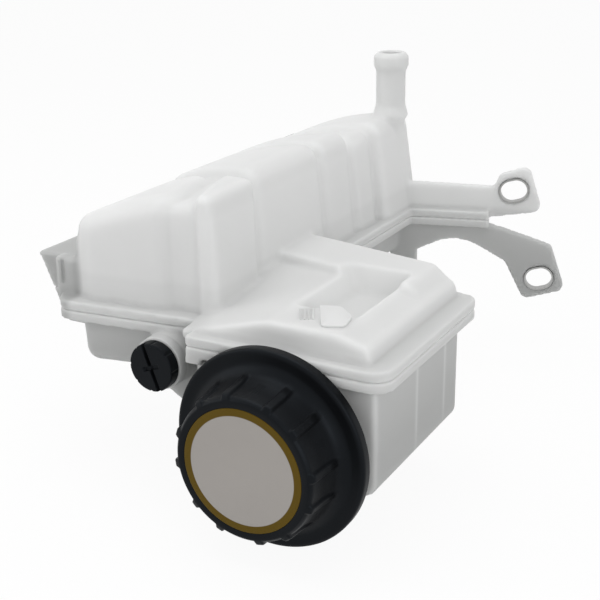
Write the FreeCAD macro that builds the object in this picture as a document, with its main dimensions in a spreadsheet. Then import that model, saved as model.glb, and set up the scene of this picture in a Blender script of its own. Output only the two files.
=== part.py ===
"""Coolant expansion tank with its filler cap, cap valves and bleed screw.

Frame: the origin is the centre of the filler neck's mouth. The neck points along -Y, +Z is up and +X
runs to the side with the two mounting arms. Lengths are in millimetres, angles in degrees.
"""
import FreeCAD, Part
import Sketcher
import math
import os

from FreeCAD import Placement, Rotation, Vector

# Driving sizes: name, value, meaning
SIZES = [
    # Welded seam between the two shells
    ("seam_height", 40.0, "height of the weld plane above the neck axis"),
    ("lip_depth", 5.0, "thickness of each welded lip"),
    ("lip_reach", 7.0, "how far the lips stand out from the walls"),
    ("lip_left_reach", 4.0, "how far the lips stand out on the left side"),
    ("lip_right_more", 1.0, "how much further the lips stand out on the right side"),
    ("lip_round", 10.0, "rounding of the lips' outer corners"),
    ("lip_small_round", 2.0, "rounding of the lips' inner corners"),
    ("lip_bevel", 0.8, "bevel that makes the groove between the lips"),
    ("wall", 2.6, "wall of both shells"),
    ("bite", 1.0, "how far joined blocks reach into each other"),
    ("past", 10.0, "how far cutting blocks reach past what they cut"),
    ("plan_over", 20.0, "how far the plan outlines of the chambers reach past the side walls"),
    # Tower of the upper shell
    ("tower_left", -131.0, "left wall of the tower at the seam"),
    ("tower_right", -47.0, "right wall of the tower at the seam"),
    ("tower_front", 36.0, "front of the tower at its left corner"),
    ("tower_skew", 9.0, "how much further back the front's right end is"),
    ("tower_back", 278.0, "back wall of the tower"),
    ("tower_crown", 106.0, "height of the top at its right edge"),
    ("tower_shoulder", 84.0, "height of the top at its left edge"),
    ("tower_bulge", 5.5, "rise of the curved top above its chord"),
    ("tower_left_draft", 1.5, "lean of the left wall"),
    ("tower_right_draft", 6.5, "lean of the right wall"),
    ("left_round", 14.0, "rounding between left wall and top"),
    ("right_round", 9.0, "rounding between right wall and top"),
    ("rim_share", 0.7, "rim rounding of the front left chamber as a share of the left rounding"),
    ("top_round", 150.0, "rounding across the top"),
    ("chamber_round", 6.0, "rounding at the ends of each chamber"),
    ("front_small_round", 8.0, "rounding of the front right chamber"),
    ("front_round", 16.0, "rounding between front wall and top"),
    ("peak_share", 0.45, "place of a top's highest point across a chamber"),
    ("peak_rise", 1.0, "how much the top rises to that point"),
    ("groove_depth", 6.0, "depth of the grooves between chambers"),
    ("side_groove", 2.0, "depth of the grooves on the right wall"),
    ("front_left_end", 125.0, "back end of the front chambers at the left wall"),
    ("front_right_end", 85.0, "back end of the front chambers at the right wall"),
    ("front_split", -58.5, "place of the flute between the front chambers at the front"),
    ("front_split_back", -76.0, "place of the flute between the front chambers at its back end"),
    ("front_drop", 1.5, "how much lower the front chambers are"),
    ("chamber_gap", 3.0, "width of a groove between two chambers"),
    ("third_drop", 4.5, "how much lower the third long chamber is"),
    ("last_drop", 2.0, "how much lower the last long chamber is"),
    ("front_upright", 3.5, "how much less the front right chamber's wall leans"),
    ("lean_share", 0.6, "share of that flare that the wall's lean takes"),
    ("last_flare", 5.0, "how far the last chamber's right wall flares out at the seam"),
    ("least_round", 1.5, "smallest rounding inside the mouldings"),
    ("chamber_one_end", 163.0, "back end of the first long chamber"),
    ("chamber_two_end", 199.0, "back end of the second chamber"),
    ("chamber_three_end", 228.0, "back end of the third chamber"),
    # Deck of the upper shell over the box
    ("deck_left", -54.0, "left end of the deck inside the tower"),
    ("deck_ridge", -7.5, "place of the ridge left of the recess"),
    ("deck_shoulder", 27.5, "place of the edge right of the recess"),
    ("deck_edge", 43.0, "place of the right top edge"),
    ("deck_top", 16.5, "height of the deck above the weld plane"),
    ("deck_edge_height", 12.5, "height of the right top edge above the weld plane"),
    ("deck_valley", 3.5, "height of the deck beside the tower at the front above the weld plane"),
    ("deck_valley_back", 21.0, "height of the deck beside the tower at the back above the weld plane"),
    ("deck_front", 26.0, "front wall of the deck"),
    ("deck_round", 4.0, "rounding of the deck's edges"),
    ("deck_end_round", 2.4, "rounding of the deck's front and back edges"),
    ("deck_over", 3.0, "how far the deck's back stands behind the box's back wall"),
    ("corner_round", 8.0, "rounding of upright corners"),
    ("strip_width", 34.0, "width of the raised strip along the back"),
    ("strip_left_height", 19.4, "height of the raised strip at the tower above the weld plane"),
    ("strip_right_height", 19.2, "height of the raised strip at its right end above the weld plane"),
    ("strip_round", 5.5, "rounding of the raised strip's right end"),
    ("strip_edge_drop", 1.5, "how much the strip's outer edge is lower than the deck's"),
    ("strip_right", 31.0, "right end of the raised strip's top"),
    ("recess_front", 44.0, "front edge of the recess"),
    ("recess_back", 107.5, "back edge of the recess"),
    ("recess_depth", 8.5, "depth of the recess"),
    ("recess_slope", 9.5, "lean of the recess's left wall"),
    ("recess_back_slope", 8.0, "lean of the recess's back wall"),
    ("recess_lean", 2.0, "lean of the recess's right wall"),
    ("recess_front_lean", 1.0, "lean of the recess's front wall"),
    ("recess_margin", 0.8, "width of the ridges beside the recess"),
    ("recess_round", 3.0, "rounding of the recess's corners"),
    ("pad_proud", 0.8, "height of the six sided pad above the deck"),
    ("pad_turn", 12.0, "angle of the six sided pad"),
    ("pad_round", 1.0, "rounding of the six sided pad's corners"),
    ("pad_size", 9.5, "corner radius of the six sided pad"),
    ("pad_x", 15.0, "place of the six sided pad"),
    ("pad_y", 53.5, "place of the six sided pad"),
    # Lower shell
    ("box_right", 47.0, "right wall of the box"),
    ("box_front", 27.0, "front wall of the box"),
    ("box_back", 123.0, "back wall of the box"),
    ("back_skew", 20.0, "how much further back the box's back wall is at the tower"),
    ("box_corner", -18.0, "height of the box's bottom at its right side"),
    ("box_floor", -29.0, "height of the box's bottom in the middle"),
    ("box_floor_half", 20.0, "half width of the level floor"),
    ("slope_top_x", -75.0, "place where the floor's slope meets the left floor"),
    ("left_floor", 10.0, "height of the left compartment's floor at its left wall"),
    ("left_floor_rise", 6.0, "how much higher that floor is at its right wall"),
    ("low_front", 38.5, "front wall of the left compartment"),
    ("low_skew", 2.0, "how much further back the right end of that wall is"),
    ("left_inset", 5.0, "how far the lower left walls stand in from the tower"),
    ("front_soft", 5.0, "rounding of the lower shell's front and back edges"),
    ("floor_round", 7.0, "rounding of the lower shell's bottom edges"),
    ("low_draft", 2.0, "lean of the lower left wall"),
    ("slope_wall", 2.0, "how far the bridge's left wall stands left of the slope's top"),
    ("slope_corner", 4.0, "how much lower than the left floor the bridge's left wall ends"),
    ("slope_step", 9.0, "how much lower than the left floor the bridge's slope starts"),
    ("slope_over", 7.0, "how far the bridge's plan outline reaches past its left wall"),
    ("box_left_round", 3.0, "rounding of the box's bottom beside the left compartment"),
    ("baffle", 2.0, "thickness of the inner walls"),
    ("baffle_first", 71.0, "place of the first inner wall of the box"),
    ("baffle_second", 105.0, "place of the second inner wall of the box"),
    ("baffle_hole", 7.0, "radius of the holes through the inner walls"),
    ("baffle_hole_left", -20.0, "place of the left holes through the inner walls"),
    ("baffle_hole_right", 22.0, "place of the right holes through the inner walls"),
    ("baffle_hole_height", 4.0, "height of the holes through the inner walls"),
    ("baffle_clearance", 3.0, "how far the inner walls end below the seam"),
    ("lug_width", 9.0, "width of the lug under the lip's front step"),
    ("lug_depth", 10.0, "depth of the lug under the lip's front step"),
    ("lug_drop", 3.5, "how far the lug reaches below the lip"),
    # Filler neck
    ("neck_radius", 24.0, "outer radius of the neck"),
    ("neck_bore", 20.5, "radius of the neck's bore"),
    ("neck_thread", 0.9, "height of the neck's thread rings"),
    ("neck_pitch", 4.0, "pitch of the cap thread"),
    ("thread_share", 0.35, "width of a thread ring as a share of the pitch"),
    ("thread_first", 0.6, "place of the first thread ring as a share of the pitch"),
    ("thread_rings", 3, "number of thread rings"),
    # Hose spigot
    ("spigot_x", -56.0, "place of the spigot"),
    ("spigot_y", 262.0, "place of the spigot"),
    ("spigot_radius", 9.0, "outer radius of the spigot"),
    ("spigot_bore", 6.2, "radius of the spigot's bore"),
    ("spigot_top", 141.5, "height of the spigot's end"),
    ("spigot_bead", 1.6, "how far the bead stands out"),
    ("spigot_bead_length", 8.0, "length of the bead"),
    ("spigot_foot", 2.0, "flare at the spigot's foot"),
    ("spigot_root", 24.0, "how far the spigot reaches below the tower's crown"),
    ("spigot_neck", 5.0, "where the flare starts below the crown"),
    ("spigot_ramp", 3.0, "length of the ramp below the bead"),
    ("spigot_nose", 2.5, "length of the bead's tapered end"),
    ("spigot_lead", 0.5, "how much narrower the spigot's end is"),
    # Mounting arms
    ("arm_x", -43.0, "where the arms leave the tower"),
    ("arm_y", 265.0, "where the arms leave the tower"),
    ("arm_turn", 16.0, "angle of the arms from the X axis"),
    ("arm_thick", 4.0, "thickness of the arm plates"),
    ("arm_root", 12.0, "how far the arms reach back into the tower"),
    ("arm_pad_round", 5.0, "rounding of the arms' pads"),
    ("arm_lip_root", 8.0, "how far the arms' lips reach back into the tower"),
    ("arm_lip_end", 50.0, "length of the lips along the arms"),
    ("arm_lip_reach", 5.0, "how far the lips stand in front of the arms"),
    ("upper_slot_along", 64.4, "upper slot's place along the arm"),
    ("upper_slot_height", 58.2, "upper slot's height"),
    ("upper_root_rise", 3.6, "top of the upper arm at the tower above its slot"),
    ("upper_neck_back", 12.0, "start of the upper pad before its slot"),
    ("upper_neck_rise", 2.0, "height of that start above the slot"),
    ("upper_neck_round", 4.0, "rounding at that start"),
    ("upper_pad_back", 9.0, "upper pad's rear top corner before its slot"),
    ("upper_pad_rise", 9.8, "height of that corner above the slot"),
    ("upper_pad_ahead", 8.5, "upper pad's front top corner past its slot"),
    ("upper_pad_top", 16.0, "height of that corner above the slot"),
    ("upper_pad_reach", 17.8, "upper pad's front low corner past its slot"),
    ("upper_pad_drop", 12.5, "depth of that corner below the slot"),
    ("upper_foot_back", 18.0, "end of the upper arm's foot before its slot"),
    ("lower_slot_along", 82.5, "lower slot's place along the arm"),
    ("lower_slot_height", 2.3, "lower slot's height"),
    ("lower_root_height", 4.0, "height of the lower arm's bottom at the tower"),
    ("lower_step", 5.0, "length of that bottom past the tower"),
    ("lower_step_height", 17.0, "height where the arch starts"),
    ("lower_step_round", 1.5, "rounding where the arch starts"),
    ("lower_arch_back", 52.0, "arch's highest corner before the lower slot"),
    ("lower_arch_height", 29.0, "height of the arch's highest corner"),
    ("lower_arch_round", 30.0, "rounding of the arch"),
    ("lower_neck_back", 21.5, "start of the lower pad before its slot"),
    ("lower_neck_height", 12.2, "height of that start"),
    ("lower_neck_round", 8.0, "rounding at that start"),
    ("lower_pad_back", 9.0, "lower pad's rear low corner before its slot"),
    ("lower_pad_drop", 14.5, "depth of that corner below the slot"),
    ("lower_pad_reach", 16.5, "lower pad's front low corner past its slot"),
    ("lower_pad_low", 7.0, "depth of that corner below the slot"),
    ("lower_pad_ahead", 6.3, "lower pad's front top corner past its slot"),
    ("lower_pad_rise", 22.0, "height of that corner above the slot"),
    ("lower_top_back", 24.0, "end of the lower arm's slope before its slot"),
    ("lower_top_drop", 6.2, "depth of that end below the seam"),
    ("lower_top_round", 14.0, "rounding at that end"),
    ("lower_foot_back", 36.0, "end of the lower arm's level top before its slot"),
    ("lower_foot_drop", 3.0, "depth of the slope's start below the seam"),
    ("slot_tilt", 15.0, "tilt of both slots"),
    ("slot_half", 1.6, "half distance between a slot's end centres"),
    ("sleeve_outer", 7.5, "outer end radius of the steel sleeves"),
    ("sleeve_wall", 1.0, "wall of the steel sleeves"),
    ("sleeve_proud", 0.6, "how far a sleeve stands out of the plate"),
    ("sleeve_collar", 1.2, "reach of the sleeve's back collar"),
    # Bracket on the left side
    ("bracket_reach", 33.0, "how far the bracket's shelf stands out"),
    ("bracket_foot_reach", 17.0, "how far the bracket's foot stands out"),
    ("bracket_top", 58.5, "height of the bracket's shelf"),
    ("bracket_foot", 22.0, "height of the bracket's foot"),
    ("bracket_front", 55.0, "front end of the bracket"),
    ("bracket_length", 95.0, "length of the bracket"),
    ("bracket_thick", 2.5, "thickness of the bracket's plates"),
    ("bracket_gussets", 3, "number of gussets under the shelf"),
    ("rail_rise", 20.0, "how far above the seam the rail starts"),
    ("rail_end", 6.0, "how far before the tower's back the rail ends"),
    ("rail_front", 124.0, "front end of the rail on the left shoulder"),
    ("rail_top", 83.0, "height of the rail on the left shoulder"),
    ("guide_height", 64.0, "height of the guide on the left front corner"),
    ("guide_reach", 7.5, "how far the guide stands out"),
    ("guide_width", 8.0, "width of the guide"),
    ("guide_root", 4.0, "how far the guide reaches into the tower"),
    ("guide_set", 2.5, "how far the guide stands behind the tower's front"),
    ("guide_slot", 2.4, "width of the slot in the guide"),
    ("guide_slot_depth", 2.0, "depth of the slot in the guide"),
    ("guide_slot_rise", 10.0, "how far above the seam that slot starts"),
    ("guide_slot_share", 0.6, "place of that slot as a share of the guide's reach"),
    # Bleed screw and its boss
    ("bleed_x", -68.0, "place of the bleed screw"),
    ("bleed_z", 24.0, "height of the bleed screw"),
    ("bleed_face", 19.5, "front face of the bleed screw"),
    ("bleed_head_radius", 12.4, "radius of the bleed screw's head"),
    ("bleed_head_length", 11.0, "length of the bleed screw's head"),
    ("bleed_stem_radius", 7.0, "radius of the bleed screw's stem"),
    ("bleed_stem_length", 16.0, "length of the bleed screw's stem"),
    ("bleed_slot_width", 2.4, "width of the screwdriver slot"),
    ("bleed_slot_depth", 2.0, "depth of the screwdriver slot"),
    ("bleed_slot_turn", -72.0, "angle of the screwdriver slot"),
    ("bleed_boss_radius", 13.5, "radius of the boss around the bleed screw"),
    ("bleed_bevel", 1.0, "bevel of the bleed screw's edges"),
    ("bleed_boss_over", 2.0, "how far the boss reaches into the compartment"),
    ("bleed_ring_room", 0.15, "room round the bleed screw's sealing ring"),
    ("bleed_ring", 2.0, "thickness of the bleed screw's sealing ring"),
    ("run_clearance", 0.06, "running clearance of stems and threads"),
    ("seat_clearance", 0.05, "gap between seated pieces"),
    # Filler cap
    ("cap_face", -10.0, "front face of the cap"),
    ("cap_plate", 2.8, "thickness of the cap's front plate"),
    ("label_radius", 29.9, "radius of the label"),
    ("label_thick", 0.8, "thickness of the label"),
    ("rim_radius", 34.8, "radius of the grip at the front"),
    ("rim_bevel", 1.6, "bevel of the grip's front edge"),
    ("grip_radius", 35.6, "radius of the grip at its foot"),
    ("grip_foot", 3.0, "where the grip starts to flare"),
    ("grip_wall", 2.6, "wall of the grip"),
    ("flare_start", 1.2, "how far the flare has opened after its first bend"),
    ("flare_start_length", 2.8, "length of that bend"),
    ("flare_bend", 2.8, "how far the flare has opened before the skirt"),
    ("flare_bend_length", 0.9, "where that is before the skirt's face"),
    ("flare_wall", 4.4, "how far the hollow opens behind the flare"),
    ("flare_wall_start", 2.0, "where that opening starts behind the grip's foot"),
    ("flare_radius", 41.0, "radius where the flare meets the skirt"),
    ("skirt_face", 12.0, "front face of the skirt"),
    ("skirt_radius", 48.8, "radius of the skirt"),
    ("skirt_bevel", 0.9, "bevel of the skirt's front edge"),
    ("skirt_thick", 2.4, "thickness of the skirt"),
    ("skirt_back", 18.0, "back of the skirt's rim"),
    ("thread_wall", 2.6, "wall of the cap's threaded sleeve"),
    ("thread_end", 12.0, "back end of the threaded sleeve"),
    ("rib_height", 1.8, "height of the grip's ribs"),
    ("rib_front", 0.2, "height of a rib at the cap's face"),
    ("rib_face", 0.4, "how far a rib starts behind the cap's face"),
    ("rib_sink", 1.2, "how deep a rib reaches into the grip's wall"),
    ("rib_foot_sink", 3.0, "how deep a rib's foot reaches into the flare"),
    ("rib_width", 4.2, "width of the grip's ribs"),
    ("rib_pairs", 6, "number of rib pairs round the grip"),
    ("rib_pair_angle", 25.5, "angle between the ribs of a pair"),
    ("rib_start_angle", -67.75, "angle of the first rib"),
    # Valve insert in the cap
    ("insert_radius", 20.3, "radius of the valve insert"),
    ("insert_bore", 16.0, "bore of the valve insert"),
    ("insert_end", 17.0, "inner end of the valve insert"),
    ("insert_floor", 2.0, "thickness of the insert's floor"),
    ("insert_flange", 24.6, "radius of the insert's flange"),
    ("port_radius", 8.0, "radius of the hole that the pressure valve closes"),
    ("vent_width", 5.0, "width of the vents in the insert"),
    ("groove_room", 1.1, "half width of the ring's groove as a share of its section"),
    ("vent_depth", 1.2, "depth of the vents in the insert"),
    ("vent_count", 4, "number of vents round the insert"),
    ("seal_thick", 2.4, "thickness of the neck seal"),
    ("seal_inner", 20.6, "inner radius of the neck seal"),
    ("ring_section", 1.5, "section radius of the insert's sealing ring"),
    ("ring_place", 8.0, "place of the insert's sealing ring"),
    # Valves
    ("pressure_disc_radius", 13.0, "radius of the pressure valve disc"),
    ("pressure_disc_thick", 2.0, "thickness of the pressure valve disc"),
    ("pressure_seal_thick", 1.5, "thickness of the pressure valve seal"),
    ("pressure_seal_lap", 0.6, "how far the seal's hole clears the port"),
    ("pressure_seal_rim", 0.5, "how far the seal ends inside the disc's edge"),
    ("pressure_spring_radius", 10.0, "mean radius of the pressure spring"),
    ("pressure_wire", 0.8, "wire radius of the pressure spring"),
    ("pressure_turns", 5, "turns of the pressure spring"),
    ("retainer_place", -3.0, "front face of the spring retainer"),
    ("retainer_thick", 2.0, "thickness of the spring retainer"),
    ("retainer_hole", 7.0, "hole in the spring retainer"),
    ("vacuum_stem_radius", 1.5, "radius of the vacuum valve's stem"),
    ("vacuum_head_radius", 5.5, "radius of the vacuum valve's head"),
    ("vacuum_head_thick", 1.4, "thickness of the vacuum valve's head"),
    ("vacuum_head_share", 0.6, "share of the head that its flat and its edge take"),
    ("vacuum_stem_length", 9.0, "length of the vacuum valve's stem"),
    ("vacuum_spring_radius", 2.9, "mean radius of the vacuum spring"),
    ("vacuum_wire", 0.35, "wire radius of the vacuum spring"),
    ("vacuum_turns", 5, "turns of the vacuum spring"),
    ("vacuum_port_place", 4.2, "how far the disc's ports are from its centre"),
    ("vacuum_port_radius", 0.8, "radius of the disc's ports"),
    ("vacuum_ports", 4, "number of ports in the disc"),
    ("vacuum_washer_radius", 4.2, "radius of the vacuum spring's washer"),
    ("vacuum_washer_thick", 1.0, "thickness of the vacuum spring's washer"),
]

doc = FreeCAD.newDocument("expansion_tank")
sheet = doc.addObject("Spreadsheet::Sheet", "Sizes")
for row, (name, value, meaning) in enumerate(SIZES, start=1):
    sheet.set("A%d" % row, name)
    sheet.set("B%d" % row, str(value))
    sheet.set("C%d" % row, meaning)
    sheet.setAlias("B%d" % row, name)
doc.recompute()


class Size:
    """A length that carries its number and the sheet formula behind it."""

    def __init__(self, number, formula):
        self.number = float(number)
        self.formula = formula

    def joined(self, other, sign, number):
        return Size(number, "(%s %s %s)" % (self.formula, sign, as_size(other).formula))

    def __add__(self, other):
        return self.joined(other, "+", self.number + as_size(other).number)

    def __sub__(self, other):
        return self.joined(other, "-", self.number - as_size(other).number)

    def __mul__(self, other):
        return self.joined(other, "*", self.number * as_size(other).number)

    def __truediv__(self, other):
        return self.joined(other, "/", self.number / as_size(other).number)

    def __neg__(self):
        return Size(-self.number, "(0 - %s)" % self.formula)


def as_size(value):
    """Take a plain number as a Size, and leave a Size as it is."""
    return value if isinstance(value, Size) else Size(value, repr(float(value)))


def size(name):
    """The sheet's cell of that name, for sketches and features."""
    return Size(sheet.get(name), "Sizes.%s" % name)


def num(name):
    """The plain number in the sheet's cell of that name, for moulded shapes."""
    return float(sheet.get(name))


def above_seam(name):
    """A height that is measured from the weld plane."""
    return num("seam_height") + num(name)


ZERO = Size(0.0, "0")


# Turned and extruded pieces

def new_body(label):
    """A body for one sub-part."""
    body = doc.addObject("PartDesign::Body", label)
    body.Label = label
    return body


def sketch_on(body, role, name, turn=None, axis=Vector(0, 1, 0)):
    """A sketch on one of the body's own origin planes, turned about an axis of the sketch if asked."""
    plane = [part for part in body.Origin.OriginFeatures if part.Role == role][0]
    sketch = body.newObject("Sketcher::SketchObject", name)
    sketch.AttachmentSupport = [(plane, "")]
    sketch.MapMode = "FlatFace"
    if turn is not None:
        sketch.AttachmentOffset = Placement(Vector(0, 0, 0), Rotation(axis, turn.number))
        sketch.setExpression(".AttachmentOffset.Rotation.Angle", turn.formula)
    return sketch


def fix_point(sketch, edge, end, point):
    """Hold one end of an edge at a place given by two Sizes."""
    for kind, place in (("DistanceX", point[0]), ("DistanceY", point[1])):
        index = sketch.addConstraint(Sketcher.Constraint(kind, -1, 1, edge, end, place.number))
        sketch.setExpression("Constraints[%d]" % index, place.formula)


def outline(sketch, points):
    """A closed outline of straight edges through the points."""
    points = [(as_size(x), as_size(y)) for x, y in points]
    count = len(points)
    first = sketch.GeometryCount
    for i in range(count):
        here, there = points[i], points[(i + 1) % count]
        start = Vector(here[0].number, here[1].number, 0)
        stop = Vector(there[0].number, there[1].number, 0)
        sketch.addGeometry(Part.LineSegment(start, stop), False)
    for i in range(count):
        following = first + (i + 1) % count
        sketch.addConstraint(Sketcher.Constraint("Coincident", first + i, 2, following, 1))
        fix_point(sketch, first + i, 1, points[i])


def ring(sketch, centre_x, centre_y, radius):
    """A circle held by its centre and radius."""
    centre_x, centre_y, radius = as_size(centre_x), as_size(centre_y), as_size(radius)
    circle = Part.Circle(Vector(centre_x.number, centre_y.number, 0), Vector(0, 0, 1), radius.number)
    index = sketch.addGeometry(circle, False)
    rule = sketch.addConstraint(Sketcher.Constraint("Radius", index, radius.number))
    sketch.setExpression("Constraints[%d]" % rule, radius.formula)
    fix_point(sketch, index, 3, (centre_x, centre_y))


def slot_outline(sketch, half, radius):
    """A slot with round ends, centred on the sketch's origin and long in X."""
    turns = ((half, -math.pi / 2, math.pi / 2), (-half, math.pi / 2, 3 * math.pi / 2))
    arcs = []
    for centre, start, stop in turns:
        circle = Part.Circle(Vector(centre.number, 0, 0), Vector(0, 0, 1), radius.number)
        arcs.append(sketch.addGeometry(Part.ArcOfCircle(circle, start, stop), False))
    right, left = arcs
    top = sketch.addGeometry(Part.LineSegment(Vector(half.number, radius.number, 0),
                                              Vector(-half.number, radius.number, 0)), False)
    bottom = sketch.addGeometry(Part.LineSegment(Vector(-half.number, -radius.number, 0),
                                                 Vector(half.number, -radius.number, 0)), False)
    for edge, end, other, other_end in ((right, 2, top, 1), (top, 2, left, 1),
                                        (left, 2, bottom, 1), (bottom, 2, right, 1)):
        sketch.addConstraint(Sketcher.Constraint("Tangent", edge, end, other, other_end))
    for arc, centre in ((right, half), (left, -half)):
        fix_point(sketch, arc, 3, (centre, ZERO))
    rule = sketch.addConstraint(Sketcher.Constraint("Radius", right, radius.number))
    sketch.setExpression("Constraints[%d]" % rule, radius.formula)


def pad(body, sketch, name, length, both_ways=False, backwards=False):
    """Extrude a sketch by a bound length."""
    feature = body.newObject("PartDesign::Pad", name)
    feature.Profile = sketch
    feature.setExpression("Length", length.formula)
    feature.Midplane = both_ways
    feature.Reversed = backwards
    return feature


def turned(body, name, points):
    """Revolve an outline of (radius, y) points about the Y axis."""
    sketch = sketch_on(body, "XY_Plane", name + "_profile")
    outline(sketch, points)
    feature = body.newObject("PartDesign::Revolution", name)
    feature.Profile = sketch
    feature.ReferenceAxis = (sketch, ["V_Axis"])
    feature.Angle = 360.0
    return feature


def turned_ring(body, name, mean_radius, place, section):
    """A round sealing ring about the Y axis."""
    sketch = sketch_on(body, "XY_Plane", name + "_profile")
    ring(sketch, mean_radius, place, section)
    feature = body.newObject("PartDesign::Revolution", name)
    feature.Profile = sketch
    feature.ReferenceAxis = (sketch, ["V_Axis"])
    feature.Angle = 360.0
    return feature


def around_y(body, feature, name, copies):
    """Repeat a feature evenly about the Y axis."""
    pattern = body.newObject("PartDesign::PolarPattern", name)
    pattern.Originals = [feature]
    axis = [part for part in body.Origin.OriginFeatures if part.Role == "Y_Axis"][0]
    pattern.Axis = (axis, [""])
    pattern.Angle = 360.0
    pattern.setExpression("Occurrences", copies.formula)
    body.Tip = pattern
    return pattern


def place_at(body, spot_x, spot_y, spot_z):
    """Put a body that was made about its own axis at its place in the tank."""
    for axis, spot in (("x", spot_x), ("y", spot_y), ("z", spot_z)):
        body.setExpression(".Placement.Base.%s" % axis, as_size(spot).formula)


def make_cap_shell():
    """Grip, flared skirt and threaded sleeve, moulded in one."""
    body = new_body("cap_shell")
    face, plate = size("cap_face"), size("cap_plate")
    inside = face + plate
    sleeve_in = size("neck_radius") + size("neck_thread") + size("run_clearance")
    sleeve_out = sleeve_in + size("thread_wall")
    grip_in = size("rim_radius") - size("grip_wall")
    skirt_inner = size("skirt_radius") - size("skirt_thick")
    skirt_under = size("skirt_face") + size("skirt_thick")
    label_floor = face + size("label_thick")
    label_edge = size("label_radius") + size("seat_clearance")
    turned(body, "cap_form", [
        (ZERO, label_floor),
        (label_edge, label_floor),
        (label_edge, face),
        (size("rim_radius") - size("rim_bevel"), face),
        (size("rim_radius"), face + size("rim_bevel")),
        (size("grip_radius"), size("grip_foot")),
        (size("grip_radius") + size("flare_start"), size("grip_foot") + size("flare_start_length")),
        (size("grip_radius") + size("flare_bend"), size("skirt_face") - size("flare_bend_length")),
        (size("flare_radius"), size("skirt_face")),
        (size("skirt_radius") - size("skirt_bevel"), size("skirt_face")),
        (size("skirt_radius"), size("skirt_face") + size("skirt_bevel")),
        (size("skirt_radius"), size("skirt_back")),
        (skirt_inner, size("skirt_back")),
        (skirt_inner, skirt_under),
        (grip_in + size("flare_wall"), skirt_under),
        (grip_in + size("bite"), size("grip_foot") + size("flare_wall_start")),
        (grip_in, inside),
        (sleeve_out, inside),
        (sleeve_out, size("thread_end")),
        (sleeve_in, size("thread_end")),
        (sleeve_in, inside),
        (ZERO, inside),
    ])
    inner = grip_in + size("rib_sink")
    for number in range(2):
        turn = size("rib_start_angle") + size("rib_pair_angle") * number
        sketch = sketch_on(body, "XY_Plane", "rib_side_%d" % (number + 1), turn)
        outline(sketch, [
            (inner, face + size("rim_bevel")),
            (size("rim_radius") + size("rib_front"), face + size("rib_face")),
            (size("rim_radius") + size("rib_height"), face + size("rim_bevel")),
            (size("grip_radius") + size("rib_height"), size("grip_foot")),
            (size("grip_radius") + size("flare_bend"), size("skirt_face") - size("rib_front")),
            (inner + size("rib_foot_sink"), size("skirt_face")),
        ])
        rib = pad(body, sketch, "rib_%d" % (number + 1), size("rib_width"), both_ways=True)
        around_y(body, rib, "ribs_%d" % (number + 1), size("rib_pairs"))
    return body


def make_cap_label():
    """Thin round label in the recess of the cap's face."""
    body = new_body("cap_label")
    face = size("cap_face")
    turned(body, "label_form", [
        (ZERO, face),
        (size("label_radius"), face),
        (size("label_radius"), face + size("label_thick")),
        (ZERO, face + size("label_thick")),
    ])
    return body


def make_valve_insert():
    """Plug that carries both valves and hangs in the neck."""
    body = new_body("valve_insert")
    front = size("cap_face") + size("cap_plate") + size("seat_clearance")
    flange_end = -size("seal_thick") - size("seat_clearance")
    floor = size("insert_end") - size("insert_floor")
    shoulder = size("seal_inner") - size("run_clearance")
    groove_in = size("neck_bore") - size("ring_section") * 2.0
    groove_from = size("ring_place") - size("ring_section") * size("groove_room")
    groove_to = size("ring_place") + size("ring_section") * size("groove_room")
    turned(body, "insert_form", [
        (size("insert_bore"), front),
        (size("insert_flange"), front),
        (size("insert_flange"), flange_end),
        (shoulder, flange_end),
        (shoulder, -size("seat_clearance")),
        (size("insert_radius"), -size("seat_clearance")),
        (size("insert_radius"), groove_from),
        (groove_in, groove_from),
        (groove_in, groove_to),
        (size("insert_radius"), groove_to),
        (size("insert_radius"), size("insert_end")),
        (size("port_radius"), size("insert_end")),
        (size("port_radius"), floor),
        (size("insert_bore"), floor),
    ])
    sketch = sketch_on(body, "XY_Plane", "vent_side")
    outline(sketch, [
        (size("insert_bore") - size("bite"), front - size("bite")),
        (size("insert_flange") + size("bite"), front - size("bite")),
        (size("insert_flange") + size("bite"), front + size("vent_depth")),
        (size("insert_bore") - size("bite"), front + size("vent_depth")),
    ])
    cut = body.newObject("PartDesign::Pocket", "vent")
    cut.Profile = sketch
    cut.Midplane = True
    cut.setExpression("Length", size("vent_width").formula)
    around_y(body, cut, "vents", size("vent_count"))
    return body


def make_neck_seal():
    """Flat ring that the insert's flange presses on the neck's mouth."""
    body = new_body("neck_seal")
    turned(body, "seal_form", [
        (size("seal_inner"), -size("seal_thick")),
        (size("neck_radius"), -size("seal_thick")),
        (size("neck_radius"), ZERO),
        (size("seal_inner"), ZERO),
    ])
    return body


def make_insert_ring():
    """Round ring in the groove of the valve insert."""
    body = new_body("insert_o_ring")
    section = size("ring_section") - size("seat_clearance")
    mean = size("neck_bore") - size("ring_section")
    turned_ring(body, "ring_form", mean, size("ring_place"), section)
    return body


def make_pressure_disc():
    """Plate of the pressure valve, with ports that the vacuum valve closes."""
    body = new_body("pressure_disc")
    back = disc_back()
    front = back - size("pressure_disc_thick")
    turned(body, "disc_form", [
        (size("vacuum_stem_radius") + size("run_clearance"), front),
        (size("pressure_disc_radius"), front),
        (size("pressure_disc_radius"), back),
        (size("vacuum_stem_radius") + size("run_clearance"), back),
    ])
    sketch = sketch_on(body, "XZ_Plane", "port_spot")
    ring(sketch, size("vacuum_port_place"), ZERO, size("vacuum_port_radius"))
    cut = body.newObject("PartDesign::Pocket", "port")
    cut.Profile = sketch
    cut.Midplane = True
    cut.setExpression("Length", (back * 2.0 + size("bite")).formula)
    around_y(body, cut, "ports", size("vacuum_ports"))
    return body


def disc_back():
    """Back face of the pressure valve disc when it is shut."""
    floor = size("insert_end") - size("insert_floor")
    return floor - size("pressure_seal_thick") - size("seat_clearance")


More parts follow.
